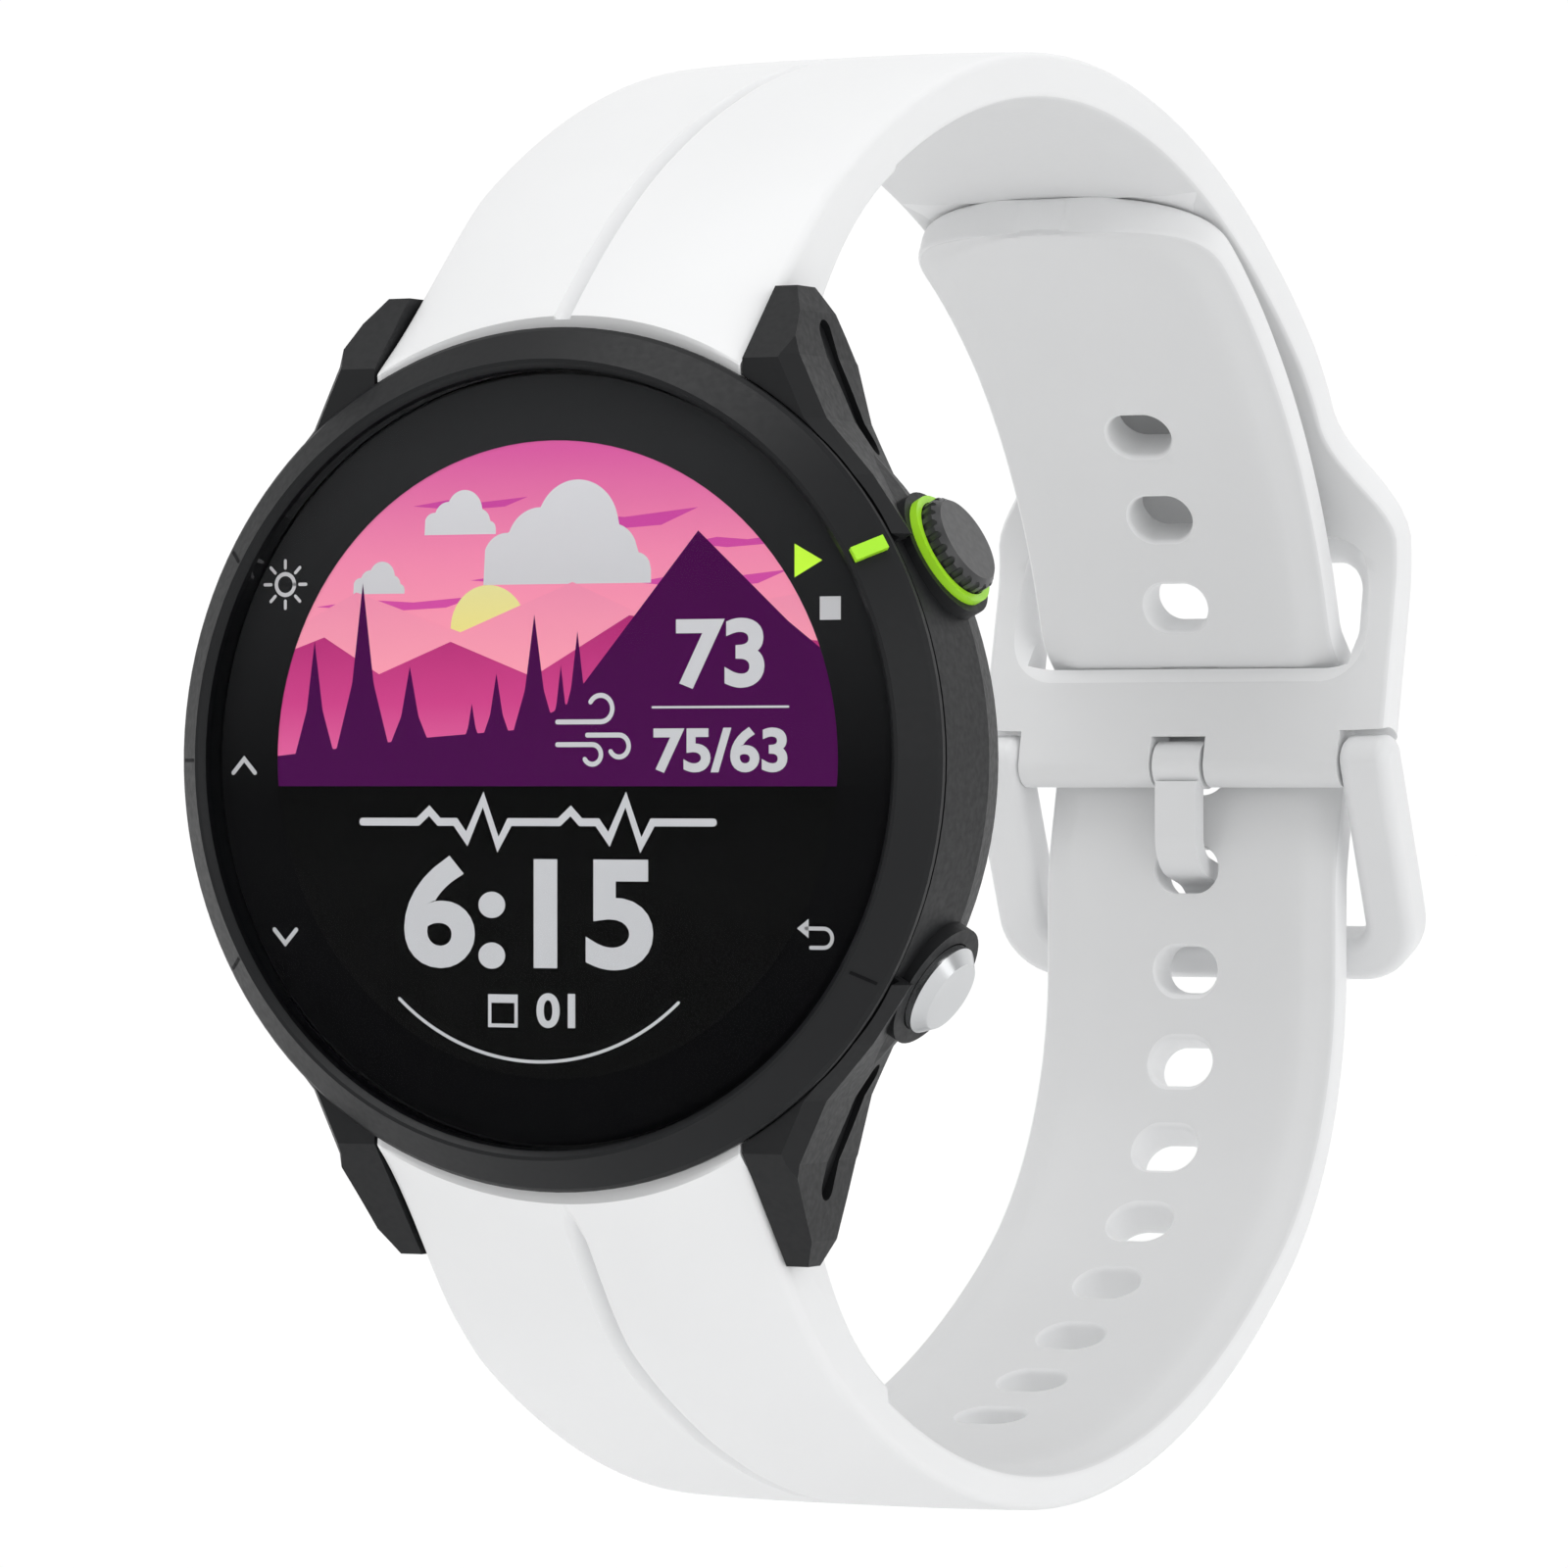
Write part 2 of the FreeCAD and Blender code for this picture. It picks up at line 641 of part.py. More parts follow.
def place_on_path(start, heading, moves, distance):
    """Point and heading at a distance along a path."""
    travelled = 0.0
    for point, angle, centre, measure, turn, after in along_path(start, heading, moves):
        length = measure if turn == 0 else measure * math.radians(abs(turn))
        if distance <= travelled + length:
            share = (distance - travelled) / length
            if turn == 0:
                return point + (after - point) * share, angle
            here = angle + math.radians(turn) * share
            side = 1 if turn > 0 else -1
            left = Vector(0, -math.sin(here), math.cos(here))
            return centre - left * (side * measure), here
        travelled += length
    raise ValueError("past the end of the path")


def path_length(moves):
    return sum(measure if turn == 0 else measure * math.radians(abs(turn)) for measure, turn in moves)


def first_point(edges):
    return edges[0].Vertexes[0].Point


def last_point(edges):
    return edges[-1].Vertexes[-1].Point


def extrude_across(edges, width):
    """Close an outline of the Y-Z plane and extrude it evenly to both sides."""
    wire = Part.Wire(Part.__sortEdges__(edges))
    face = Part.Face(wire)
    face.translate(Vector(-width / 2.0, 0, 0))
    return face.extrude(Vector(width, 0, 0))


LIP_DEPTH = -10.1
INNER_JOIN_SHARE = 0.24


def path_start(end, thickness):
    """Where the strap's big bend begins: its centre, radius, first point and heading."""
    radius = size("loop_radius") - thickness / 2.0
    middle = size("loop_middle")
    centre_z = size("loop_top") - size("loop_radius")
    if end < 0:
        centre_z = size("loop_radius") - size("loop_bottom")
    begin = math.asin((LIP_DEPTH - middle) / size("loop_radius"))
    point = Vector(0, middle + radius * math.sin(begin), centre_z + end * radius * math.cos(begin))
    return radius, point, -end * math.degrees(begin)


def tangent_arc(start, direction, end):
    """Arc that leaves start in a direction and ends at end."""
    chord = end - start
    square = Vector(0, -direction.z, direction.y)
    radius = chord.Length ** 2 / (2.0 * chord.dot(square))
    centre = start + square * radius
    towards_middle = (start - centre) + (end - centre)
    towards_middle.normalize()
    return Part.Arc(start, centre + towards_middle * abs(radius), end).toShape()


def strap_root(end, inner_join, inner_heading):
    """Outline from the outer face round the lip and the knuckle to the inner face."""
    pivot = bar_axis(end)
    knuckle = size("knuckle_radius")
    centre_z = size("loop_top") - size("loop_radius")
    if end < 0:
        centre_z = size("loop_radius") - size("loop_bottom")
    begin = math.asin((LIP_DEPTH - size("loop_middle")) / size("loop_radius"))
    lip_top = Vector(0, LIP_DEPTH, centre_z + end * size("loop_radius") * math.cos(begin))
    lip_low = Vector(0, LIP_DEPTH + 0.1, end * 23.0)
    under_lip = Vector(0, -7.6, end * 21.3)
    knuckle_in = pivot + Vector(0, -knuckle * 0.85, -end * knuckle * 0.527)
    knuckle_low = pivot + Vector(0, 0, -end * knuckle)
    knuckle_out = pivot + Vector(0, knuckle * 0.848, -end * knuckle * 0.53)
    backwards = Vector(0, -math.cos(inner_heading), -math.sin(inner_heading))
    return [
        Part.makeLine(lip_top, lip_low),
        Part.makeLine(lip_low, under_lip),
        Part.makeLine(under_lip, knuckle_in),
        Part.Arc(knuckle_in, knuckle_low, knuckle_out).toShape(),
        tangent_arc(inner_join, backwards, knuckle_out),
    ]


def prism(corners, run):
    """Solid between an outline and its copy moved by run."""
    return Part.Face(Part.makePolygon(corners + corners[:1])).extrude(run)


TAPER_END = 62.0


def taper_cutters(back_from):
    """Cutters that narrow a strap evenly from the lugs to the back of the loop."""
    start_half = size("strap_width") / 2.0
    end_half = size("strap_end_width") / 2.0
    cutters = []
    for side in (-1, 1):
        corners = [Vector(side * start_half, -12, -60), Vector(side * start_half, 0, -60),
                   Vector(side * end_half, TAPER_END, -60), Vector(side * 30, TAPER_END, -60),
                   Vector(side * 30, -12, -60)]
        cutters.append(prism(corners, Vector(0, 0, 120)))
        corner_x = end_half if side > 0 else -30.0
        cutters.append(Part.makeBox(30.0 - end_half, 25.0, 60.0 - back_from,
                                    Vector(corner_x, TAPER_END, back_from)))
    return cutters


# Moves after the big bend of each half.
BUCKLE_MOVES = [(20.0, -22.0), (3.0, 0), (10.0, -41.5)]
BUCKLE_BEND_END = -40.0
BUCKLE_THICKNESS = 2.8
HOLE_BEND_END = 36.0
HOLE_MOVES = [(22.0, 54.0), (4.6, 0), (12.0, -13.5), (8.4, 0), (3.4, 61.5), (1.9, 0),
              (3.4, -31.0), (38.6, 48.0)]
TONGUE_HOLE_INDEX = 5
HOLE_COUNT = 14


def pin_point():
    return Vector(0, size("pin_depth"), size("pin_height"))


def buckle_path():
    radius, start, heading = path_start(1, BUCKLE_THICKNESS)
    return start, heading, [(radius, BUCKLE_BEND_END - heading)] + BUCKLE_MOVES


def hole_path():
    radius, start, heading = path_start(-1, size("strap_thickness"))
    return start, heading, [(radius, HOLE_BEND_END - heading)] + HOLE_MOVES


def split_first_arc(edges, share):
    """Shorten the first arc of a side so that it starts at a share of its length."""
    curve = edges[0]
    low, high = curve.FirstParameter, curve.LastParameter
    join = curve.valueAt(low + share * (high - low))
    middle = curve.valueAt(low + (share + 1.0) / 2.0 * (high - low))
    return join, [Part.Arc(join, middle, curve.valueAt(high)).toShape()] + edges[1:]


def strap_groove(path, offset, share_from, share_to):
    """Cutter for the shallow line along the middle of the outer face."""
    start, heading, moves = path
    radius, turn = moves[0]
    first = place_on_path(start, heading, moves, radius * math.radians(abs(turn)) * share_from)
    bend = [(radius, turn * (share_to - share_from))]
    depth = size("groove_depth")
    sign = 1 if offset > 0 else -1
    floor = beside_path(first[0], math.degrees(first[1]), bend, offset - sign * depth)
    above = beside_path(first[0], math.degrees(first[1]), bend, offset + sign)
    outline = floor + above + [
        Part.makeLine(first_point(floor), first_point(above)),
        Part.makeLine(last_point(floor), last_point(above))]
    return extrude_across(outline, size("groove_width"))


def bar_axis(end):
    return Vector(0, -size("bar_height"), end * size("bar_reach"))


def knob_direction(end):
    """The release knob points towards the wrist, square to the inner face of the strap."""
    return Vector(0, 0.7071, -0.7071 * end)


def bar_room(end):
    """Bore for the spring bar, and the notch that bares the release knob."""
    axis = bar_axis(end)
    bore = Part.makeCylinder(size("bar_radius"), 30.0, axis + Vector(-15, 0, 0), Vector(1, 0, 0))
    outward = knob_direction(end)
    across = outward.cross(Vector(1, 0, 0))
    half_notch = 1.0
    notch_start = 6.3
    base = axis + Vector(notch_start, 0, 0)
    corners = [base - across * half_notch, base + across * half_notch,
               base + across * half_notch + outward * 6.0, base - across * half_notch + outward * 6.0]
    return [bore, prism(corners, Vector(8, 0, 0))]


def make_buckle_strap():
    start, heading, moves = buckle_path()
    half = BUCKLE_THICKNESS / 2.0
    outer = beside_path(start, heading, moves, half)
    join, inner = split_first_arc(beside_path(start, heading, moves, -half), INNER_JOIN_SHARE)
    join_heading = math.radians(heading + moves[0][1] * INNER_JOIN_SHARE)
    pin = pin_point()
    down = pin - Vector(0, (last_point(outer).y + last_point(inner).y) / 2.0,
                        (last_point(outer).z + last_point(inner).z) / 2.0)
    down.normalize()
    across = Vector(0, -down.z, down.y)
    outline = outer + inner + strap_root(1, join, join_heading) + [
        Part.makeLine(last_point(outer), pin + across * half),
        Part.Arc(pin + across * half, pin + down * half, pin - across * half).toShape(),
        Part.makeLine(pin - across * half, last_point(inner))]
    shape = extrude_across(outline, size("keeper_width"))
    wide_from = 22.0
    shape = shape.cut(taper_cutters(wide_from))
    end_half = size("strap_end_width") / 2.0
    wide_half = size("keeper_width") / 2.0
    tools = []
    for side in (-1, 1):
        curve = Part.BezierCurve()
        curve.setPoles([Vector(side * end_half, 62, wide_from), Vector(side * end_half, 62, 17.6),
                        Vector(side * wide_half, 62, 18.0), Vector(side * wide_half, 62, 13.6)])
        beyond = wide_half + 2.0
        outline = [curve.toShape(),
                   Part.makeLine(Vector(side * wide_half, 62, 13.6), Vector(side * beyond, 62, 13.6)),
                   Part.makeLine(Vector(side * beyond, 62, 13.6), Vector(side * beyond, 62, wide_from)),
                   Part.makeLine(Vector(side * beyond, 62, wide_from), Vector(side * end_half, 62, wide_from))]
        tools.append(Part.Face(Part.Wire(outline)).extrude(Vector(0, 20, 0)))
        arm_room = 2.35
        inner_x = size("frame_opening") / 2.0 - 0.1
        start_x = inner_x if side > 0 else -20.0
        tools.append(Part.makeCylinder(arm_room, 20.0 - inner_x, pin + Vector(start_x, 0, 0), Vector(1, 0, 0)))
        tools.append(Part.makeBox(20.0 - inner_x, 12.0, 10.0,
                                  Vector(start_x, pin.y - 6.0, pin.z - 10.0)))
    shape = shape.cut(tools)
    slot_half = size("slot_width") / 2.0
    slot_low = 6.6
    slot_high = 12.6
    slot = Part.makeBox(2 * slot_half, 14.0, slot_high - slot_low, Vector(-slot_half, 66.0, slot_low))
    upright = [edge for edge in slot.Edges if edge.BoundBox.YLength > 10.0]
    slot = slot.makeFillet(1.5, upright)
    clearance = 0.16
    tail_start, tail_heading, tail_moves = hole_path()
    reach = size("strap_thickness") / 2.0 + clearance
    before_slot = 4
    for move in list(along_path(tail_start, tail_heading, tail_moves))[:before_slot]:
        tail_start = move[5]
        tail_heading += move[4]
    tail_moves = tail_moves[before_slot:]
    left = beside_path(tail_start, tail_heading, tail_moves, reach)
    right = beside_path(tail_start, tail_heading, tail_moves, -reach)
    passage = extrude_across(left + right + [
        Part.makeLine(first_point(left), first_point(right)),
        Part.makeLine(last_point(left), last_point(right))], 2 * slot_half)
    tongue_half = size("tongue_width") / 2.0 + 0.45
    tongue_room = Part.makeBox(2 * tongue_half, 8.0, 7.0, Vector(-tongue_half, pin.y - 4.0, pin.z - 5.2))
    tongue_room = tongue_room.fuse(Part.makeCylinder(
        1.75, 2 * tongue_half, pin + Vector(-tongue_half, 0, 0), Vector(1, 0, 0)))
    pin_bore = Part.makeCylinder(size("pin_radius"), 40.0, pin + Vector(-20, 0, 0), Vector(1, 0, 0))
    groove = strap_groove((start, heading, moves), half, 0.045, 0.86)
    shape = shape.cut([slot, passage, tongue_room, pin_bore, groove] + bar_room(1))
    return keep(solid("buckle_strap", shape), "buckle_strap")


def strap_hole(path, distance):
    """Cutter for one adjustment hole: an oval, square to the strap."""
    point, angle = place_on_path(*path, distance)
    normal = Vector(0, -math.sin(angle), math.cos(angle))
    forward = Vector(0, math.cos(angle), math.sin(angle))
    radius = size("hole_length") / 2.0
    spread = (size("hole_width") - size("hole_length")) / 2.0
    base = point - normal * 3.0
    run = normal * 6.0
    ends = [Part.makeCylinder(radius, 6.0, base + Vector(side * spread, 0, 0), normal) for side in (-1, 1)]
    corners = [base + forward * radius + Vector(-spread, 0, 0), base + forward * radius + Vector(spread, 0, 0),
               base - forward * radius + Vector(spread, 0, 0), base - forward * radius + Vector(-spread, 0, 0)]
    return ends + [prism(corners, run)]


def tongue_hole_distance():
    """Distance along the hole strap to the hole that the tongue is in."""
    moves = hole_path()[2]
    past_bends = 6.15
    return path_length(moves[:2]) + past_bends


def make_hole_strap():
    path = hole_path()
    start, heading, moves = path
    half = size("strap_thickness") / 2.0
    join, inner = split_first_arc(beside_path(start, heading, moves, half), INNER_JOIN_SHARE)
    join_heading = math.radians(heading + moves[0][1] * INNER_JOIN_SHARE)
    outer = beside_path(start, heading, moves, -half)
    outline = outer + inner + strap_root(-1, join, join_heading) + [
        Part.makeLine(last_point(outer), last_point(inner))]
    shape = extrude_across(outline, size("strap_width") + 1.0)
    shape = shape.cut(taper_cutters(-60.0))
    corner_edges = []
    for edge in shape.Edges:
        middle = edge.BoundBox.Center
        at_tip = middle.z > 28.0 and abs(middle.x) > 9.0 and edge.BoundBox.XLength < 0.2
        if at_tip and abs(edge.Length - 2 * half) < 0.05:
            corner_edges.append(edge)
    shape = shape.makeFillet(4.0, corner_edges)
    tools = bar_room(-1)
    tools.append(strap_groove(path, -half, 0.045, 0.54))
    for index in range(HOLE_COUNT):
        steps = TONGUE_HOLE_INDEX - index
        tools += strap_hole(path, tongue_hole_distance() + steps * size("hole_pitch"))
    for tool in tools:
        shape = shape.cut(tool)
    return keep(solid("hole_strap", shape), "hole_strap")


# ---------------------------------------------------------------- spring bars
def make_spring_bar(end):
    """Quick-release bar: tube, fixed tip, sprung plunger with its knob, and spring."""
    name = "top" if end > 0 else "bottom"
    depth = -size("bar_height")
    reach = end * size("bar_reach")
    tube = cylinder(name + "_tube_outside", "sizes.bar_radius", "16.6", along_x(-10.4, depth, reach))
    bore = cylinder(name + "_tube_bore", "0.55", "10", along_x(-2.0, depth, reach))
    socket = cylinder(name + "_tube_socket", "sizes.tip_radius", "3", along_x(-11.0, depth, reach))
    keep(cut("bar_tube_" + name, tube, [bore, socket]), "bar_tube_" + name)
    keep(cylinder("bar_tip_" + name, "sizes.tip_radius", "sizes.tip_reach - 8",
                  along_x(-size("tip_reach"), depth, reach)), "bar_tip_" + name)
    rod = cylinder(name + "_rod", "0.5", "9.3", along_x(1.0, depth, reach))
    point = cylinder(name + "_point", "sizes.tip_radius", "sizes.tip_reach - 10.2",
                     along_x(10.2, depth, reach))
    knob = cylinder(name + "_knob", "0.45", "2.9", Placement(
        Vector(8.4, depth, reach), Rotation(Vector(0, 0, 1), knob_direction(end))))
    keep(fuse("release_knob_" + name, [rod, point, knob]), "release_knob_" + name)
    wire_radius = 0.1
    coil_radius = 0.4
    coil_length = 2.7
    coil = Part.makeHelix(0.45, coil_length, coil_radius)
    section = Part.Wire(Part.makeCircle(wire_radius, Vector(coil_radius, 0, 0), Vector(0, 1, 0)))
    turns = Part.Wire(coil).makePipeShell([section], True, True)
    item = solid("bar_spring_" + name, turns)
    item.Placement = along_x(-1.85, depth, reach)
    keep(item, "bar_spring_" + name)


# ---------------------------------------------------------------- buckle
def frame_placement():
    """Local Y runs from the pin to the far bar, local Z out of the strap."""
    lean = 67.0
    turn = Rotation(Vector(1, 0, 0), -lean)
    return Placement(pin_point(), turn)


def make_buckle():
    body = doc.addObject("PartDesign::Body", "frame_body")
    outline = new_sketch(body, "frame_outline", "XY_Plane")
    arm_top = -1.9
    bar_near = 11.4
    bar_far = 14.2
    add_polygon(outline, [
        ("frame_left", arm_top), ("opening_left", arm_top), ("opening_left", bar_near),
        ("opening_right", bar_near), ("opening_right", arm_top), ("frame_right", arm_top),
        ("frame_right", bar_far), ("frame_left", bar_far)])
    body.Tip = pad(body, outline, "3.2", True)
    dress(body, "Fillet", "frame_corners", 4.0, lambda edge: edge.BoundBox.ZLength > 3.0 and
                 edge.BoundBox.Center.y > bar_far - 0.1)
    dress(body, "Fillet", "window_corners", 1.2, lambda edge: edge.BoundBox.ZLength > 3.0 and
                 abs(edge.BoundBox.Center.y - bar_near) < 0.1)
    dress(body, "Fillet", "arm_ends", 1.5, lambda edge: abs(edge.BoundBox.Center.y - arm_top) < 0.01 and
                 edge.BoundBox.XLength > 3.0)
    dress(body, "Fillet", "far_bar_edges", 0.8, lambda edge: edge.BoundBox.Center.y > bar_near - 0.1 and
                 edge.BoundBox.XLength > 15.0)
    body.Placement = frame_placement()
    pin = pin_point()
    bore = cylinder("frame_bore", "sizes.pin_radius + sizes.running_gap", "27.4",
                    along_x(-13.7, pin.y, pin.z))
    notch = box("tongue_rest", "sizes.tongue_width + 0.8", "5", "4", Placement())
    notch.Placement = frame_placement().multiply(
        Placement(Vector(-size("tongue_width") / 2.0 - 0.4, 10.8, 0.85), Rotation()))
    keep(cut("frame_cut", body, [bore, notch]), "buckle_frame")
    keep(cylinder("buckle_pin", "sizes.pin_radius", "27.2", along_x(-13.6, pin.y, pin.z)), "buckle_pin")
    moves = [(3.5, 0), (2.0, 75.0), (1.8, 0), (3.0, -30.0), (4.2, 0)]
    first = pin + Vector(0, -0.85, -1.0)
    half = 0.6
    left = beside_path(first, -90.0, moves, half)
    right = beside_path(first, -90.0, moves, -half)
    shank = extrude_across(left + right + [
        Part.makeLine(first_point(left), first_point(right)),
        Part.makeLine(last_point(left), last_point(right))], size("tongue_width"))
    width = size("tongue_width") + 0.4
    barrel = Part.makeCylinder(1.5, width, pin + Vector(-width / 2.0, 0, 0), Vector(1, 0, 0))
    bore = Part.makeCylinder(size("pin_radius") + size("running_gap"), 10.0, pin + Vector(-5, 0, 0),
                             Vector(1, 0, 0))
    tip_edges = [edge for edge in shank.Edges
                 if edge.BoundBox.XLength < 0.01 and edge.BoundBox.Center.z < pin.z - 10.0 and
                 abs(edge.Length - 2 * half) < 0.01]
    shank = shank.makeFillet(1.0, tip_edges)
    keep(solid("tongue", shank.fuse(barrel).cut(bore).removeSplitter()), "tongue")


# ---------------------------------------------------------------- build and export
def check_and_export():
    doc.recompute()
    failed = [item.Label for item in doc.Objects if {"Invalid", "Error"} & set(item.State)]
    if failed:
        raise RuntimeError("failed: " + ", ".join(failed))
    os.makedirs("parts", exist_ok=True)
    for node in nodes:
        shape = node.Shape
        if shape.isNull() or not shape.isValid() or not shape.Solids:
            raise RuntimeError("bad shape: " + node.Label)
        shape.exportStep("parts/%s.step" % node.Label)
        extent = shape.BoundBox
        print("%-22s solids %2d volume %9.3f  x %.1f..%.1f y %.1f..%.1f z %.1f..%.1f" % (
            node.Label, len(shape.Solids), shape.Volume, extent.XMin, extent.XMax,
            extent.YMin, extent.YMax, extent.ZMin, extent.ZMax))
    print(len(nodes), "nodes")


make_case_housing()
make_bezel()
make_lens()
make_inside()
make_back()
make_buttons()
make_buckle_strap()
make_hole_strap()
for bar_end in (1, -1):
    make_spring_bar(bar_end)
make_buckle()
check_and_export()
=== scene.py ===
"""Looks of the running watch: silicone strap, glass display and polymer case.

Sizes are in millimetres in the part's own frame and become metres in make_object().
+X is 3 o'clock, +Z is 12 o'clock, the dial faces -Y and the wrist lies at +Y.
"""

import json
import math

import bmesh
import bpy
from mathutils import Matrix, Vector


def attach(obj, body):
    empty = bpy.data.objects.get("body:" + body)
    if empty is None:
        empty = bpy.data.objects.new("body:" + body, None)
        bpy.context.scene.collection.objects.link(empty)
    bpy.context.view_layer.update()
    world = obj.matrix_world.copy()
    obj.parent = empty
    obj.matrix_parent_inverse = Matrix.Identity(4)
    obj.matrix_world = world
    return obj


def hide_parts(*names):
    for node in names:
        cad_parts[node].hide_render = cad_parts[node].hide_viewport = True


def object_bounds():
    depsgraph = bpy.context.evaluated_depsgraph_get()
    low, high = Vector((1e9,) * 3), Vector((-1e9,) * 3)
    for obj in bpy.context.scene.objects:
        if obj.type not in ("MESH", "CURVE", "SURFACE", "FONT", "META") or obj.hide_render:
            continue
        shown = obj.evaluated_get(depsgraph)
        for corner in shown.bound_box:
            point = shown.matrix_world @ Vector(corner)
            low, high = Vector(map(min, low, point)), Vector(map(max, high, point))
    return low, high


MM = 0.001
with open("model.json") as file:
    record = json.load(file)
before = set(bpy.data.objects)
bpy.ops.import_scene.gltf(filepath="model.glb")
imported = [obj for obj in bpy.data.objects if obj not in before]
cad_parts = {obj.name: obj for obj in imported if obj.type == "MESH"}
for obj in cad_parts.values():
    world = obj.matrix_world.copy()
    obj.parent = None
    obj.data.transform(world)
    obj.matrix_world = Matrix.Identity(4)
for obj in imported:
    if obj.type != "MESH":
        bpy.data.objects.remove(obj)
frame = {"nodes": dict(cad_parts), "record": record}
cad_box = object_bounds()
SLOT_OF_NODE = {row["node"]: row["material_slot"] for row in frame["record"]["subparts"]}


# ------------------------------------------------------------------ materials
def start_material(name):
    """An empty material with a Principled shader and object coordinates."""
    material = bpy.data.materials.new(name)
    material.use_nodes = True
    tree = material.node_tree
    tree.nodes.clear()
    output = tree.nodes.new("ShaderNodeOutputMaterial")
    shader = tree.nodes.new("ShaderNodeBsdfPrincipled")
    tree.links.new(shader.outputs[0], output.inputs[0])
    place = tree.nodes.new("ShaderNodeTexCoord").outputs["Object"]
    return material, tree, shader, place


def add_noise(tree, place, scale, stretch=(1, 1, 1), detail=3.0):
    """Noise with features of about 1/scale metres, stretched along the axes."""
    mapping = tree.nodes.new("ShaderNodeMapping")
    mapping.inputs["Scale"].default_value = stretch
    noise = tree.nodes.new("ShaderNodeTexNoise")
    noise.inputs["Scale"].default_value = scale
    noise.inputs["Detail"].default_value = detail
    tree.links.new(place, mapping.inputs["Vector"])
    tree.links.new(mapping.outputs[0], noise.inputs["Vector"])
    return noise.outputs["Fac"]


def add_ramp(tree, value, stops):
    """Colour ramp from a list of (position, colour)."""
    ramp = tree.nodes.new("ShaderNodeValToRGB")
    elements = ramp.color_ramp.elements
    while len(elements) < len(stops):
        elements.new(0.5)
    for element, (position, colour) in zip(elements, stops):
        element.position = position
        element.color = (*colour, 1)
    tree.links.new(value, ramp.inputs["Fac"])
    return ramp.outputs["Color"]


def add_range(tree, value, low, high, from_low=0.3, from_high=0.7):
    """A value spread over a new range."""
    node = tree.nodes.new("ShaderNodeMapRange")
    node.inputs["From Min"].default_value = from_low
    node.inputs["From Max"].default_value = from_high
    node.inputs["To Min"].default_value = low
    node.inputs["To Max"].default_value = high
    tree.links.new(value, node.inputs["Value"])
    return node.outputs["Result"]


def add_bump(tree, shader, height, depth):
    """Relief of a depth in metres."""
    bump = tree.nodes.new("ShaderNodeBump")
    bump.inputs["Strength"].default_value = 1.0
    bump.inputs["Distance"].default_value = depth
    tree.links.new(height, bump.inputs["Height"])
    tree.links.new(bump.outputs[0], shader.inputs["Normal"])


def moulded(name, light, dark, roughness, grain=2600.0, depth=6e-6, cloud=90.0, metallic=0.0,
            stretch=(1, 1, 1), coat=0.0, shine=0.5):
    """Surface with slow colour clouds, uneven gloss and a fine grain."""
    material, tree, shader, place = start_material(name)
    clouds = add_noise(tree, place, cloud)
    fine = add_noise(tree, place, grain, stretch)
    tree.links.new(add_ramp(tree, clouds, [(0.3, dark), (0.7, light)]), shader.inputs["Base Color"])
    tree.links.new(add_range(tree, fine, roughness * 0.88, roughness * 1.12), shader.inputs["Roughness"])
    shader.inputs["Metallic"].default_value = metallic
    shader.inputs["Coat Weight"].default_value = coat
    shader.inputs["Specular IOR Level"].default_value = shine
    add_bump(tree, shader, fine, depth)
    return material


def lens_material():
    """Clear cover glass: what is behind it shows through, under a faint reflection."""
    material, tree, shader, place = start_material("lens_glass")
    output = next(node for node in tree.nodes if node.type == "OUTPUT_MATERIAL")
    tree.nodes.remove(shader)
    clear = tree.nodes.new("ShaderNodeBsdfTransparent")
    clear.inputs["Color"].default_value = (0.96, 0.965, 0.97, 1)
    gloss = tree.nodes.new("ShaderNodeBsdfGlossy")
    wipe = add_noise(tree, place, 60.0)
    tree.links.new(add_range(tree, wipe, 0.03, 0.07), gloss.inputs["Roughness"])
    fresnel = tree.nodes.new("ShaderNodeFresnel")
    fresnel.inputs["IOR"].default_value = 1.1
    mix = tree.nodes.new("ShaderNodeMixShader")
    tree.links.new(fresnel.outputs[0], mix.inputs["Fac"])
    tree.links.new(clear.outputs[0], mix.inputs[1])
    tree.links.new(gloss.outputs[0], mix.inputs[2])
    tree.links.new(mix.outputs[0], output.inputs[0])
    return material


def screen_colour(name, stops, low, high, glow=0.6, axis=2):
    """Lit screen ink whose colour runs between two heights, in millimetres."""
    material, tree, shader, place = start_material(name)
    split = tree.nodes.new("ShaderNodeSeparateXYZ")
    tree.links.new(place, split.inputs[0])
    along = add_range(tree, split.outputs[axis], 0.0, 1.0, low * MM, high * MM)
    colour = add_ramp(tree, along, stops)
    tree.links.new(colour, shader.inputs["Base Color"])
    tree.links.new(colour, shader.inputs["Emission Color"])
    shader.inputs["Emission Strength"].default_value = glow
    shader.inputs["Specular IOR Level"].default_value = 0.0
    shader.inputs["Roughness"].default_value = 0.6
    return material


def board_material():
    """Green solder mask with fine copper tracks under it."""
    material, tree, shader, place = start_material("board_green")
    tracks = tree.nodes.new("ShaderNodeTexBrick")
    tracks.inputs["Scale"].default_value = 700.0
    tracks.inputs["Mortar Size"].default_value = 0.03
    tracks.inputs["Color1"].default_value = (0.01, 0.12, 0.05, 1)
    tracks.inputs["Color2"].default_value = (0.012, 0.15, 0.06, 1)
    tracks.inputs["Mortar"].default_value = (0.05, 0.28, 0.10, 1)
    tree.links.new(place, tracks.inputs["Vector"])
    tree.links.new(tracks.outputs["Color"], shader.inputs["Base Color"])
    shader.inputs["Roughness"].default_value = 0.35
    add_bump(tree, shader, tracks.outputs["Fac"], 1e-5)
    return material


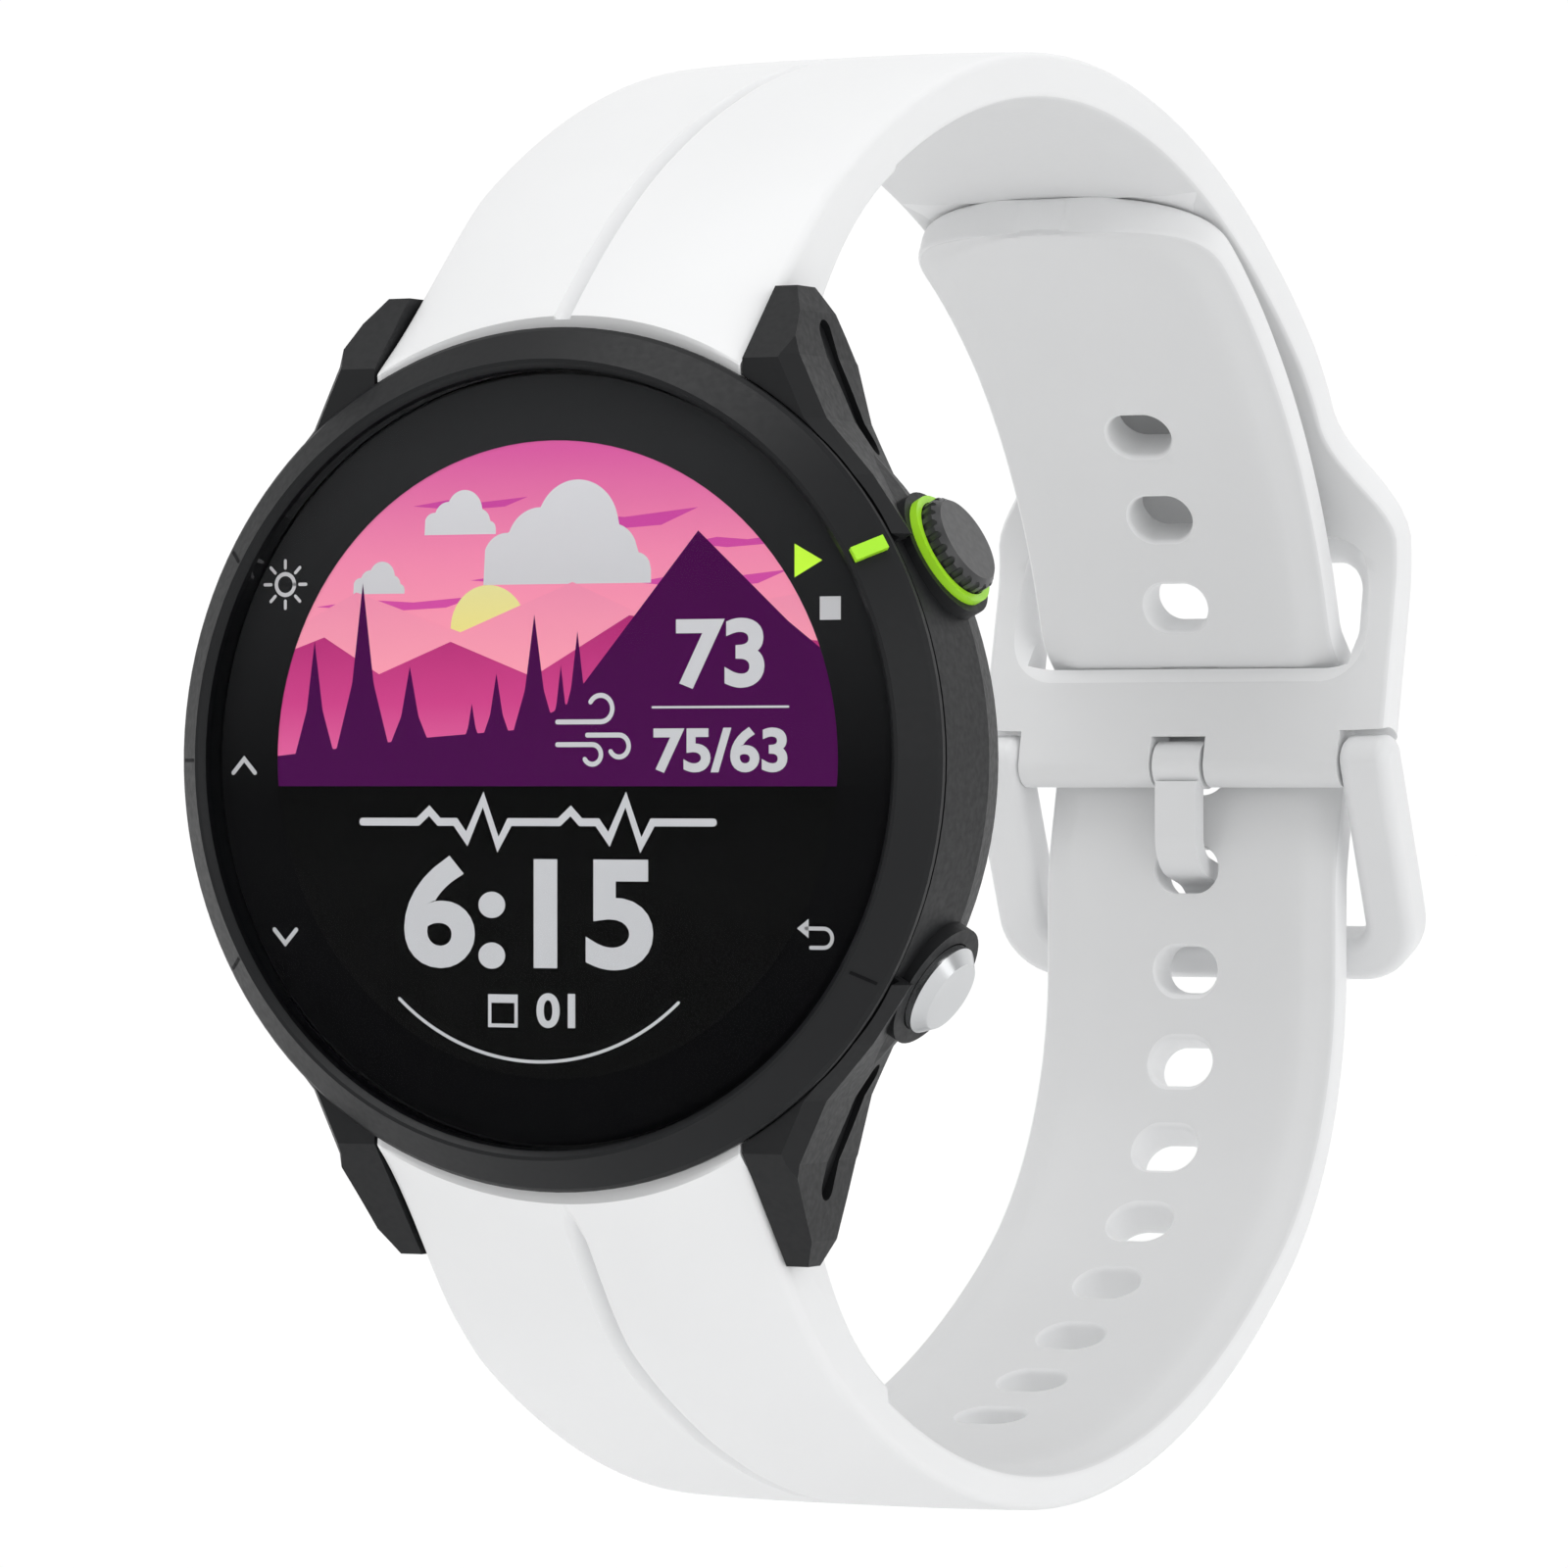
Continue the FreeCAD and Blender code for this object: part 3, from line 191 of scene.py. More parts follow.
MATERIALS = {
    "case_polymer": moulded("case_polymer", (0.0125, 0.013, 0.014), (0.0095, 0.010, 0.011), 0.5,
                            depth=1.5e-6, shine=0.22),
    "bezel_polymer": moulded("bezel_polymer", (0.0105, 0.011, 0.012), (0.008, 0.0085, 0.0095), 0.4,
                             depth=1e-6, shine=0.2),
    "green_accent": moulded("green_accent", (0.42, 0.86, 0.02), (0.34, 0.76, 0.015), 0.4),
    "lens_glass": lens_material(),
    "seal_rubber": moulded("seal_rubber", (0.02, 0.02, 0.02), (0.012, 0.012, 0.012), 0.7),
    "display_black": moulded("display_black", (0.004, 0.004, 0.005), (0.003, 0.003, 0.004), 0.3,
                             depth=2e-7, shine=0.0),
    "frame_polymer": moulded("frame_polymer", (0.03, 0.03, 0.03), (0.02, 0.02, 0.02), 0.55),
    "antenna_gold": moulded("antenna_gold", (0.83, 0.60, 0.28), (0.72, 0.50, 0.22), 0.22, metallic=1.0),
    "board_green": board_material(),
    "shield_tin": moulded("shield_tin", (0.62, 0.62, 0.60), (0.5, 0.5, 0.48), 0.35, metallic=1.0,
                          stretch=(8, 1, 1)),
    "battery_foil": moulded("battery_foil", (0.34, 0.36, 0.40), (0.26, 0.28, 0.31), 0.38, metallic=0.7),
    "sounder_black": moulded("sounder_black", (0.03, 0.03, 0.03), (0.02, 0.02, 0.02), 0.5),
    "flex_amber": moulded("flex_amber", (0.55, 0.24, 0.04), (0.42, 0.17, 0.03), 0.3),
    "back_polymer": moulded("back_polymer", (0.016, 0.017, 0.019), (0.012, 0.013, 0.015), 0.5,
                            depth=3e-6, shine=0.3),
    "window_glass": moulded("window_glass", (0.018, 0.018, 0.022), (0.010, 0.010, 0.013), 0.08,
                            grain=900.0, depth=1e-6, coat=0.6),
    "sensor_parts": moulded("sensor_parts", (0.55, 0.75, 0.42), (0.45, 0.62, 0.34), 0.25, coat=0.5),
    "screw_steel": moulded("screw_steel", (0.55, 0.56, 0.58), (0.42, 0.43, 0.45), 0.3, metallic=1.0,
                           stretch=(6, 1, 1)),
    "start_black": moulded("start_black", (0.022, 0.0225, 0.024), (0.017, 0.0175, 0.019), 0.36,
                           depth=1e-6, shine=0.6),
    "button_steel": moulded("button_steel", (0.66, 0.67, 0.68), (0.56, 0.57, 0.58), 0.2, metallic=1.0,
                            grain=1800.0, depth=4e-7, stretch=(1, 14, 1)),
    "strap_silicone": moulded("strap_silicone", (0.845, 0.850, 0.855), (0.825, 0.830, 0.836), 0.5,
                              grain=3200.0, depth=1.5e-6, cloud=60.0, shine=0.4),
    "bar_steel": moulded("bar_steel", (0.68, 0.69, 0.71), (0.55, 0.56, 0.58), 0.25, metallic=1.0,
                         stretch=(10, 1, 1)),
    "buckle_polymer": moulded("buckle_polymer", (0.790, 0.796, 0.802), (0.770, 0.776, 0.784), 0.4,
                              grain=700.0, depth=1e-7, cloud=70.0, shine=0.4),
}
# rougher silicone of the strap's inner face, which lies on the wrist; its darker colour is painted shade of
# the loop's inside
SHADED_SKIN_SIDE = moulded("strap_skin_side_painted_shade", (0.76, 0.765, 0.77), (0.74, 0.745, 0.75), 0.6, grain=3200.0,
                    depth=1.5e-6, cloud=60.0, shine=0.3)


def dress_cad_nodes():
    """Give every node the material of its slot in the record."""
    for node, piece in frame["nodes"].items():
        piece.data.materials.clear()
        piece.data.materials.append(MATERIALS[SLOT_OF_NODE[node]])


# ------------------------------------------------------------------ mesh helpers
def make_object(name, points, faces, material, soft_angle=32.0, second=None, second_faces=()):
    """Mesh object from points in millimetres, smooth where its faces meet gently."""
    mesh = bpy.data.meshes.new(name)
    mesh.from_pydata([tuple(MM * c for c in point) for point in points], [], faces)
    for index in second_faces:
        mesh.polygons[index].material_index = 1
    work = bmesh.new()
    work.from_mesh(mesh)
    bmesh.ops.remove_doubles(work, verts=work.verts, dist=1e-7)
    bmesh.ops.recalc_face_normals(work, faces=work.faces)
    work.to_mesh(mesh)
    work.free()
    piece = bpy.data.objects.new(name, mesh)
    bpy.context.scene.collection.objects.link(piece)
    mesh.materials.append(material)
    if second:
        mesh.materials.append(second)
    soften(piece, soft_angle)
    return piece


def soften(piece, soft_angle):
    """Shade smooth, with sharp edges where the surface turns by more than an angle."""
    for face in piece.data.polygons:
        face.use_smooth = True
    piece.data.set_sharp_from_angle(angle=math.radians(soft_angle))


def bake_modifiers(piece):
    """Replace the mesh by the mesh that its modifiers make."""
    graph = bpy.context.evaluated_depsgraph_get()
    made = bpy.data.meshes.new_from_object(piece.evaluated_get(graph))
    piece.modifiers.clear()
    piece.data = made


def cut_away(piece, cutters, soft_angle=32.0):
    """Cut closed shapes out of a piece, one after another, and remove the cutters."""
    for cutter in cutters:
        modifier = piece.modifiers.new("cut", "BOOLEAN")
        modifier.operation = "DIFFERENCE"
        modifier.solver = "EXACT"
        modifier.object = cutter
    bake_modifiers(piece)
    for cutter in cutters:
        bpy.data.objects.remove(cutter)
    soften(piece, soft_angle)


def place_piece(piece, body, slot, *stands_for):
    """Attach a piece to the body it rides on and hide the nodes it stands for; the slot argument is not
    used.
    """
    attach(piece, body)
    if stands_for:
        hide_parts(*stands_for)


# ------------------------------------------------------------------ strap paths
# A path lies in the Y-Z plane.  Each move is (length, 0) for a straight stretch
# or (radius, turn) for a bend, the turn in degrees and positive to the left.
LOOP_RADIUS = 57.6          # outer radius of the big bend of both halves
LOOP_MIDDLE = 30.5          # depth of the middle of that bend
LOOP_TOP = 40.6
LOOP_BOTTOM = 42.8
LIP_DEPTH = -10.1           # where the strap begins, just behind the bezel
BAR_DEPTH = -5.2            # spring bar: its depth and its reach from the middle of the dial
BAR_REACH = 22.3
KNUCKLE = 2.4               # radius of the strap round the spring bar
PIN = (71.2, -0.1)          # buckle pin in the Y-Z plane
BUCKLE_THICKNESS = 2.8
HOLE_THICKNESS = 2.6
STATION_STEP = 0.8          # distance between two rows of the strap's mesh
BUCKLE_MOVES = [(20.0, -22.0), (3.0, 0), (10.0, -41.5)]
HOLE_MOVES = [(22.0, 54.0), (4.6, 0), (12.0, -13.5), (8.4, 0), (3.4, 61.5), (1.9, 0), (3.4, -31.0),
              (38.6, 50.0)]
JOIN_SHARE = 0.24           # where the inner face begins, as a share of the big bend
ROOT_THICKENING = 1.2       # extra thickness near the case
ROOT_RUN = 0.62             # share of the big bend over which crown and thickening fade

# widths across the strap
ROOT_HALF_WIDTH = 10.95
TAPER = 0.95                # loss of half width from the case to the buckle
TAPER_DEPTH = 62.0          # depth behind the dial at which the taper is complete
BUCKLE_WIDENING = 3.8       # gain of half width at the buckle knuckle
TAIL_CORNER = 6.0           # length of the arched tail tip
TIP_HALF_WIDTH = 1.5

# the lip that lies against the bezel
BEZEL_REACH = 23.0
LIP_REACH = 23.3            # reach of the lip at the middle of the strap
LIP_RUN = 13.0              # distance over which the lip's round outline fades
LOWER_LIP_RISE = 2.2        # how far the lower lip is drawn up to the bezel
LOWER_LIP_RUN = 9.0
LIP_SLANT = 0.25            # how much the lip moves forward for each unit it is drawn in

# section across the strap
EDGE_ROUND = 0.45
CROWN = 1.3                 # fall of the outer face from the middle to the edge
CROWN_RISE = 0.12           # share of the crown by which the middle stands proud
GROOVE_ZONE = 0.72          # half width of the finely divided middle
GROOVE_DEPTH = 0.75
GROOVE_HALF_WIDTH = (0.12, 0.42)
BEVEL_WIDTH = 2.4
BEVEL_DEPTH = 0.6
BEVEL_RAMP = 2.0

# adjustment holes
HOLE_RADIUS = 1.5
HOLE_STRETCH = 0.6
HOLE_RIM = 0.4
HOLE_PITCH = 6.2
HOLE_COUNT = 14
HOLES_ABOVE_TONGUE = 5
TONGUE_HOLE = 6.15          # distance of the tongue's hole beyond the first straight stretch

# keeper slot and the rooms round the buckle
SLOT_HALF_WIDTH = 11.0
SLOT_LOW, SLOT_HIGH = 6.6, 12.6
SLOT_CORNER = 1.9
SLOT_LEAN = 0.2
PASSAGE_CLEARANCE = 0.16
BAR_BORE_RADIUS = 0.9


def move_length(move):
    """Length of one move along its path."""
    return move[0] if move[1] == 0 else move[0] * math.radians(abs(move[1]))


def place_on_path(path, distance):
    """Point (y, z) and heading in radians at a distance along a path."""
    (y, z), heading, moves = path
    angle = math.radians(heading)
    left_over = distance
    for number, (measure, turn) in enumerate(moves):
        length = move_length((measure, turn))
        last = number == len(moves) - 1
        share = left_over / length if (left_over <= length or last) else 1.0
        if turn == 0:
            y += math.cos(angle) * measure * share
            z += math.sin(angle) * measure * share
        else:
            side = math.copysign(1.0, turn)
            after = angle + math.radians(turn) * share
            y += side * measure * (math.sin(after) - math.sin(angle))
            z += side * measure * (math.cos(angle) - math.cos(after))
            angle = after
        if left_over <= length:
            break
        left_over -= length
    return (y, z), angle


def strap_path(end):
    """Middle line of one strap half, from the lip at the case to its far end."""
    thickness = BUCKLE_THICKNESS if end > 0 else HOLE_THICKNESS
    radius = LOOP_RADIUS - thickness / 2
    centre_z = LOOP_TOP - LOOP_RADIUS if end > 0 else LOOP_RADIUS - LOOP_BOTTOM
    begin = math.asin((LIP_DEPTH - LOOP_MIDDLE) / LOOP_RADIUS)
    start = (LOOP_MIDDLE + radius * math.sin(begin), centre_z + end * radius * math.cos(begin))
    heading = -end * math.degrees(begin)
    if end < 0:
        return start, heading, [(radius, 36.0 - heading)] + HOLE_MOVES
    path = (start, heading, [(radius, -40.0 - heading)] + BUCKLE_MOVES)
    stop, _ = place_on_path(path, sum(map(move_length, path[2])))
    to_pin = math.hypot(PIN[0] - stop[0], PIN[1] - stop[1])
    bend = math.degrees(math.atan2(PIN[1] - stop[1], PIN[0] - stop[0])) - (heading + sum(
        turn for _, turn in path[2]))
    path[2][-1] = (BUCKLE_MOVES[-1][0], BUCKLE_MOVES[-1][1] + bend)
    path[2].append((to_pin + BUCKLE_THICKNESS / 2, 0))
    return path


def smooth_step(value):
    """Soft step from 0 to 1."""
    value = min(max(value, 0.0), 1.0)
    return value * value * (3 - 2 * value)


def strap_half_width(end, y, z, to_tip):
    """Half the strap's width at a point of its side view."""
    half = ROOT_HALF_WIDTH - TAPER * min(max(y, 0.0) / TAPER_DEPTH, 1.0)
    if end > 0 and y > 50:
        half += BUCKLE_WIDENING * smooth_step((21.5 - z) / 7.6)
    if end < 0 and to_tip < TAIL_CORNER:
        half = max(half * math.sqrt(1 - (1 - to_tip / TAIL_CORNER) ** 2.6), TIP_HALF_WIDTH)
    return half


def groove_envelope(end, share):
    """How open the middle groove is at a share of the big bend."""
    if end > 0:
        return smooth_step((ROOT_RUN - share) / 0.45)
    return smooth_step((share - 0.004) / 0.03) * smooth_step((0.58 - share) / 0.48)


def root_line(end, join_point, join_heading):
    """Side view of the root: from the inner face round the knuckle and under the lip."""
    fillet_steps, knuckle_steps, lip_steps = 24, 12, 6
    pivot = (BAR_DEPTH, end * BAR_REACH)
    turn_start, turn_end = math.radians(-32), math.radians(-148)
    line = []
    # gentle fillet from the inner face to the knuckle
    meet = (pivot[0] + KNUCKLE * math.cos(turn_start), pivot[1] + end * KNUCKLE * math.sin(turn_start))
    away = (-math.cos(join_heading), -math.sin(join_heading))
    reach = math.hypot(meet[0] - join_point[0], meet[1] - join_point[1]) * 0.5
    control = (join_point[0] + away[0] * reach, join_point[1] + away[1] * reach)
    for step in range(1, fillet_steps + 1):
        t = step / fillet_steps
        line.append(tuple((1 - t) ** 2 * a + 2 * t * (1 - t) * b + t * t * c
                          for a, b, c in zip(join_point, control, meet)))
    for step in range(1, knuckle_steps + 1):
        angle = turn_start + (turn_end - turn_start) * step / knuckle_steps
        line.append((pivot[0] + KNUCKLE * math.cos(angle), pivot[1] + end * KNUCKLE * math.sin(angle)))
    corners = [line[-1], (-7.6, end * 21.3), (LIP_DEPTH + 0.1, end * 23.0), (LIP_DEPTH, end * 23.8)]
    for first, second in zip(corners, corners[1:]):
        for step in range(1, lip_steps + 1):
            line.append(tuple(a + (b - a) * step / lip_steps for a, b in zip(first, second)))
    return line[:-1]


def strap_stations(end, path):
    """Distances along a strap: even ones, and closer ones at the far end."""
    length = sum(map(move_length, path[2]))
    corner = TAIL_CORNER if end < 0 else BUCKLE_THICKNESS / 2
    count = int((length - corner) / STATION_STEP)
    even = [(length - corner) * index / count for index in range(count)]
    close = [length - corner * (1 - math.sin(math.radians(5 * index))) for index in range(19)]
    return even + close, length


def strap_outline(end):
    """Closed side view of one half.

    Each row holds the place, the half width, and how much the strap has there of
    crown, groove, inner bevel, drop towards the bezel and edge rounding.
    """
    path = strap_path(end)
    stations, length = strap_stations(end, path)
    bend_length = move_length(path[2][0])
    half = (BUCKLE_THICKNESS if end > 0 else HOLE_THICKNESS) / 2
    tip_round = half if end > 0 else 0.4
    outer, inner = [], []
    for distance in stations:
        (y, z), angle = place_on_path(path, distance)
        out = (-math.sin(angle) * end, math.cos(angle) * end)
        to_tip = length - distance
        thick = half
        if to_tip < tip_round:
            thick += math.sqrt(max(tip_round ** 2 - (tip_round - to_tip) ** 2, 0.0)) - tip_round
        width = strap_half_width(end, y, z, to_tip)
        share = distance / bend_length
        crown = CROWN * smooth_step(1 - share / ROOT_RUN) * smooth_step(0.2 + distance / 14.0)
        groove = groove_envelope(end, share)
        near_lip = smooth_step(1 - distance / LIP_RUN)
        edge = smooth_step(to_tip / 1.2) * smooth_step(distance / 6.0)
        rise = LOWER_LIP_RISE * smooth_step(1 - distance / LOWER_LIP_RUN) if end < 0 else 0.0
        outer.append((y + out[0] * thick, z + out[1] * thick + rise, width,
                      crown, groove, 0.0, near_lip, edge))
        if distance >= JOIN_SHARE * bend_length:
            bevel = (0.3, 0.7) if end < 0 else (0.0, 0.3)
            bevel = bevel[0] + bevel[1] * smooth_step(to_tip / 3.0)
            depth = thick + ROOT_THICKENING * smooth_step(1 - share / ROOT_RUN)
            inner.append((y - out[0] * depth, z - out[1] * depth, width, 0.0, 0.0, bevel, 0.0, edge))
    _, join_angle = place_on_path(path, JOIN_SHARE * bend_length)
    root = root_line(end, inner[0][:2], join_angle)
    rows = outer + inner[::-1]
    for y, z in root:
        near_lip = smooth_step((-7.0 - y) / 2.6)
        rows.append((y, z, ROOT_HALF_WIDTH, 0.0, 0.0, 0.0, near_lip, 1 - near_lip))
    return rows, len(outer), len(inner)


def lateral_places():
    """Places across a strap: (share of the half width, millimetres, share of the rounding)."""
    places = [(0.0, x, 0.0) for x in (0.0, 0.09, 0.18, 0.27, 0.36, 0.45, 0.54, 0.63, GROOVE_ZONE)]
    places += [((index + 1) / 14, 0.0, 0.0) for index in range(14)]
    places += [(1.0, 0.0, index / 6) for index in range(1, 7)]
    return [(-share, -x, -turn) for share, x, turn in places[:0:-1]] + places


def sweep_strap(name, end):
    """The strap body without its holes: the side view rounded towards both edges."""
    rows, outer_count, inner_count = strap_outline(end)
    places = lateral_places()
    count = len(rows)
    points = []
    for share, offset, turn in places:
        for index, (y, z, half, crown, groove, bevel, near_lip, edge) in enumerate(rows):
            before, after = rows[index - 1], rows[(index + 1) % count]
            along = (after[0] - before[0], after[1] - before[1])
            size = math.hypot(*along) or 1.0
            normal = (-along[1] / size * end, along[0] / size * end)
            side = math.copysign(1.0, share + offset + turn)
            flat = half - EDGE_ROUND
            x = offset
            if share:
                x = side * (GROOVE_ZONE + (flat - GROOVE_ZONE) * abs(share))
            inset = 0.0
            if turn:
                angle = math.radians(90 * abs(turn))
                x = side * (flat + EDGE_ROUND * math.sin(angle))
                inset = edge * EDGE_ROUND * (1 - math.cos(angle))
            across = min(abs(x) / half, 1.0)
            lift = crown * (CROWN_RISE - across ** 3)
            if bevel:
                lift -= bevel * BEVEL_DEPTH * smooth_step((abs(x) - (half - BEVEL_WIDTH)) / BEVEL_RAMP)
            opening = GROOVE_HALF_WIDTH[0] + GROOVE_HALF_WIDTH[1] * groove
            if groove > 0.01 and abs(x) < opening:
                lift -= GROOVE_DEPTH * groove * (1 - abs(x) / opening)
            lift -= inset
            bezel_edge = math.sqrt(BEZEL_REACH ** 2 - min(abs(x), 10.9) ** 2)
            drop = near_lip * max(LIP_REACH - bezel_edge, 0.0)
            points.append((x, y + normal[0] * lift - LIP_SLANT * drop, z + normal[1] * lift - end * drop))
    faces = []
    for ring in range(len(places) - 1):
        for index in range(count):
            after = (index + 1) % count
            faces.append((ring * count + index, ring * count + after,
                          (ring + 1) * count + after, (ring + 1) * count + index))
    for ring in (0, len(places) - 1):
        base = ring * count
        shift = outer_count - inner_count
        last_inner = outer_count + inner_count - 1
        for index in range(shift, outer_count - 1):
            partner = outer_count + (outer_count - 1 - index)
            faces.append((base + index, base + index + 1, base + partner - 1, base + partner))
        root = list(range(0, shift + 1)) + list(range(last_inner, count))
        faces.append(tuple(base + index for index in root))
    # the inner faces take the darker skin-side material: painted shade of the loop's inside
    shaded_skin_faces = [ring * count + index for ring in range(len(places) - 1)
                  if abs(places[ring][2]) < 0.5 for index in range(outer_count, count)]
    return make_object(name, points, faces, MATERIALS["strap_silicone"], 32.0, SHADED_SKIN_SIDE, shaded_skin_faces)


def ring_stack(name, rings):
    """Closed shape from rings of points, each ring with as many points."""
    count = len(rings[0])
    points = [point for ring in rings for point in ring]
    faces = []
    for level in range(len(rings) - 1):
        for index in range(count):
            after = (index + 1) % count
            faces.append((level * count + index, level * count + after,
                          (level + 1) * count + after, (level + 1) * count + index))
    faces.append(tuple(range(count)))
    faces.append(tuple(range((len(rings) - 1) * count, len(rings) * count)))
    return make_object(name, points, faces, MATERIALS["strap_silicone"])


def flare_levels(half_depth, rim):
    """Depth and widening of a hole that opens in a rounded rim at both faces."""
    steep = math.radians(62)
    start = half_depth + 0.03 - rim * math.sin(steep)
    levels = []
    for step in range(6):
        turn = steep * step / 5
        levels.append((start + rim * math.sin(turn), rim * (1 - math.cos(turn))))
    levels.append((levels[-1][0] + 0.5, levels[-1][1] + 0.5 * math.tan(steep)))
    return [(-depth, wide) for depth, wide in levels[::-1]] + levels


def hole_cutter(path, distance, half_depth):
    """Oval adjustment hole, square to the strap, with soft rims."""
    (y, z), angle = place_on_path(path, distance)
    normal = Vector((0, -math.sin(angle), math.cos(angle)))
    forward = Vector((0, math.cos(angle), math.sin(angle)))
    centre = Vector((0, y, z))
    rings = []
    for depth, wide in flare_levels(half_depth, HOLE_RIM):
        ring = []
        for step in range(40):
            turn = math.tau * (step + 0.5) / 40
            reach = HOLE_RADIUS + wide
            x = math.copysign(HOLE_STRETCH, math.cos(turn)) + reach * math.cos(turn)
            along = forward * (reach * math.sin(turn))
            ring.append(centre + normal * depth + along + Vector((x, 0, 0)))
        rings.append(ring)
    return ring_stack("hole_cutter", rings)


def rounded_box_ring(half_x, low, high, corner, widen, place):
    """Ring of a rounded rectangle; place turns its two coordinates into a point."""
    ring = []
    middle = (low + high) / 2
    half_z = (high - low) / 2
    for step in range(48):
        turn = math.tau * (step + 0.5) / 48
        x = math.copysign(half_x - corner, math.cos(turn)) + (corner + widen) * math.cos(turn)
        z = middle + math.copysign(half_z - corner, math.sin(turn)) + (corner + widen) * math.sin(turn)
        ring.append(place(x, z))
    return ring


def plain_sweep(name, path, first, last, half_thick, half_wide):
    """Closed band along a stretch of a path."""
    rings = []
    for step in range(61):
        (y, z), angle = place_on_path(path, first + (last - first) * step / 60)
        normal = (-math.sin(angle), math.cos(angle))
        rings.append([(x, y + normal[0] * lift, z + normal[1] * lift) for x, lift in (
            (-half_wide, -half_thick), (half_wide, -half_thick), (half_wide, half_thick),
            (-half_wide, half_thick))])
    return ring_stack(name, rings)


def arm_room_cutter(side):
    """Room at the strap's corner for one arm of the buckle, round at its top."""
    inner, outer, radius = 10.9, 16.0, 2.35
    rings = []
    for x in (inner * side, outer * side):
        ring = []
        for step in range(25):
            turn = math.pi * step / 24
            ring.append((x, PIN[0] + radius * math.cos(turn), PIN[1] + radius * math.sin(turn)))
        ring += [(x, PIN[0] - radius, PIN[1] - 6.0), (x, PIN[0] + radius, PIN[1] - 6.0)]
        rings.append(ring)
    return ring_stack("arm_room", rings)


def box_cutter(name, low, high):
    """Plain box between two corners."""
    rings = []
    for y in (low[1], high[1]):
        rings.append([(low[0], y, low[2]), (high[0], y, low[2]),
                      (high[0], y, high[2]), (low[0], y, high[2])])
    return ring_stack(name, rings)


def bar_bore(end):
    """Bore for the spring bar and the notch that bares its release knob."""
    axis = Vector((0, BAR_DEPTH, end * BAR_REACH))
    rings = []
    for x in (-15.0, 15.0):
        turns = [math.tau * step / 32 for step in range(32)]
        rings.append([axis + Vector((x, BAR_BORE_RADIUS * math.cos(t), BAR_BORE_RADIUS * math.sin(t)))
                      for t in turns])
    bore = ring_stack("bore", rings)
    outward = Vector((0, 0.7071, -0.7071 * end))
    across = outward.cross(Vector((1, 0, 0)))
    rings = []
    for reach in (0.0, 6.0):
        base = axis + outward * reach
        rings.append([base + across * a + Vector((x, 0, 0)) for x, a in (
            (6.3, -1.0), (14.3, -1.0), (14.3, 1.0), (6.3, 1.0))])
    return [bore, ring_stack("knob_notch", rings)]


def make_hole_strap():
    """Lower strap half with its row of adjustment holes."""
    path = strap_path(-1)
    strap = sweep_strap("strap_with_holes", -1)
    tongue_hole = move_length(path[2][0]) + move_length(path[2][1]) + TONGUE_HOLE
    cutters = [hole_cutter(path, tongue_hole + (HOLES_ABOVE_TONGUE - index) * HOLE_PITCH, HOLE_THICKNESS / 2)
               for index in range(HOLE_COUNT)]
    cut_away(strap, cutters + bar_bore(-1))
    place_piece(strap, "hole_strap", "strap_silicone", "hole_strap")


def make_buckle_strap():
    """Upper strap half with the keeper slot and the buckle knuckle."""
    strap = sweep_strap("strap_with_keeper", 1)
    tail = strap_path(-1)
    tail_from = sum(map(move_length, tail[2][:4]))
    tail_to = sum(map(move_length, tail[2])) - 0.5
    passage = plain_sweep("passage", tail, tail_from - 3.0, tail_to,
                          HOLE_THICKNESS / 2 + PASSAGE_CLEARANCE, SLOT_HALF_WIDTH)
    # depth and widening from the wrist side to the outside: both mouths are rounded
    mouths = ((64.0, 3.4), (71.9, 1.5), (72.2, 0.95), (72.6, 0.5), (73.1, 0.2), (73.7, 0.04),
              (74.3, 0.0), (74.9, 0.15), (75.4, 0.7), (80.0, 1.0))
    middle = (SLOT_LOW + SLOT_HIGH) / 2
    slot_rings = []
    for y, widen in mouths:
        slot_rings.append(rounded_box_ring(
            SLOT_HALF_WIDTH, SLOT_LOW, SLOT_HIGH, SLOT_CORNER, widen,
            lambda a, b, y=y: (a, y + SLOT_LEAN * (b - middle), b)))
    slot = ring_stack("slot", slot_rings)
    tongue_room = box_cutter("tongue_room", (-1.85, PIN[0] - 4.0, PIN[1] - 5.2),
                             (1.85, PIN[0] + 4.0, PIN[1] + 1.8))
    cutters = [slot, passage, tongue_room, arm_room_cutter(1), arm_room_cutter(-1)] + bar_bore(1)
    cut_away(strap, cutters)
    place_piece(strap, "buckle_strap", "strap_silicone", "buckle_strap")


# ------------------------------------------------------------------ screen picture
SCREEN_RADIUS = 17.0
SCREEN_TOP = 11.25          # how far in front of the plane Y = 0 the picture starts
LAYER = 0.0035              # step from one layer of the picture to the next
READING_LAYER = 10
NUMERAL_STRETCH = 1.16
PRINT_TOP = 11.31           # just in front of the lens gasket
PRINT_REACH = 20.4
SIGN_REACH = 18.6
SIGN_SCALE = 1.35


def clip_to_circle(shape, radius):
    """The part of a flat shape inside the round screen."""
    sides = 120
    kept = list(shape)
    for step in range(sides):
        turn = math.tau * step / sides
        normal = (math.cos(turn), math.sin(turn))
        reach = radius * math.cos(math.pi / sides)
        source, kept = kept, []
        for index, point in enumerate(source):
            before = source[index - 1]
            inside = point[0] * normal[0] + point[1] * normal[1] - reach
            inside_before = before[0] * normal[0] + before[1] * normal[1] - reach
            if (inside <= 0) != (inside_before <= 0):
                share = inside_before / (inside_before - inside)
                kept.append(tuple(b + (a - b) * share for a, b in zip(point, before)))
            if inside <= 0:
                kept.append(point)
    return kept


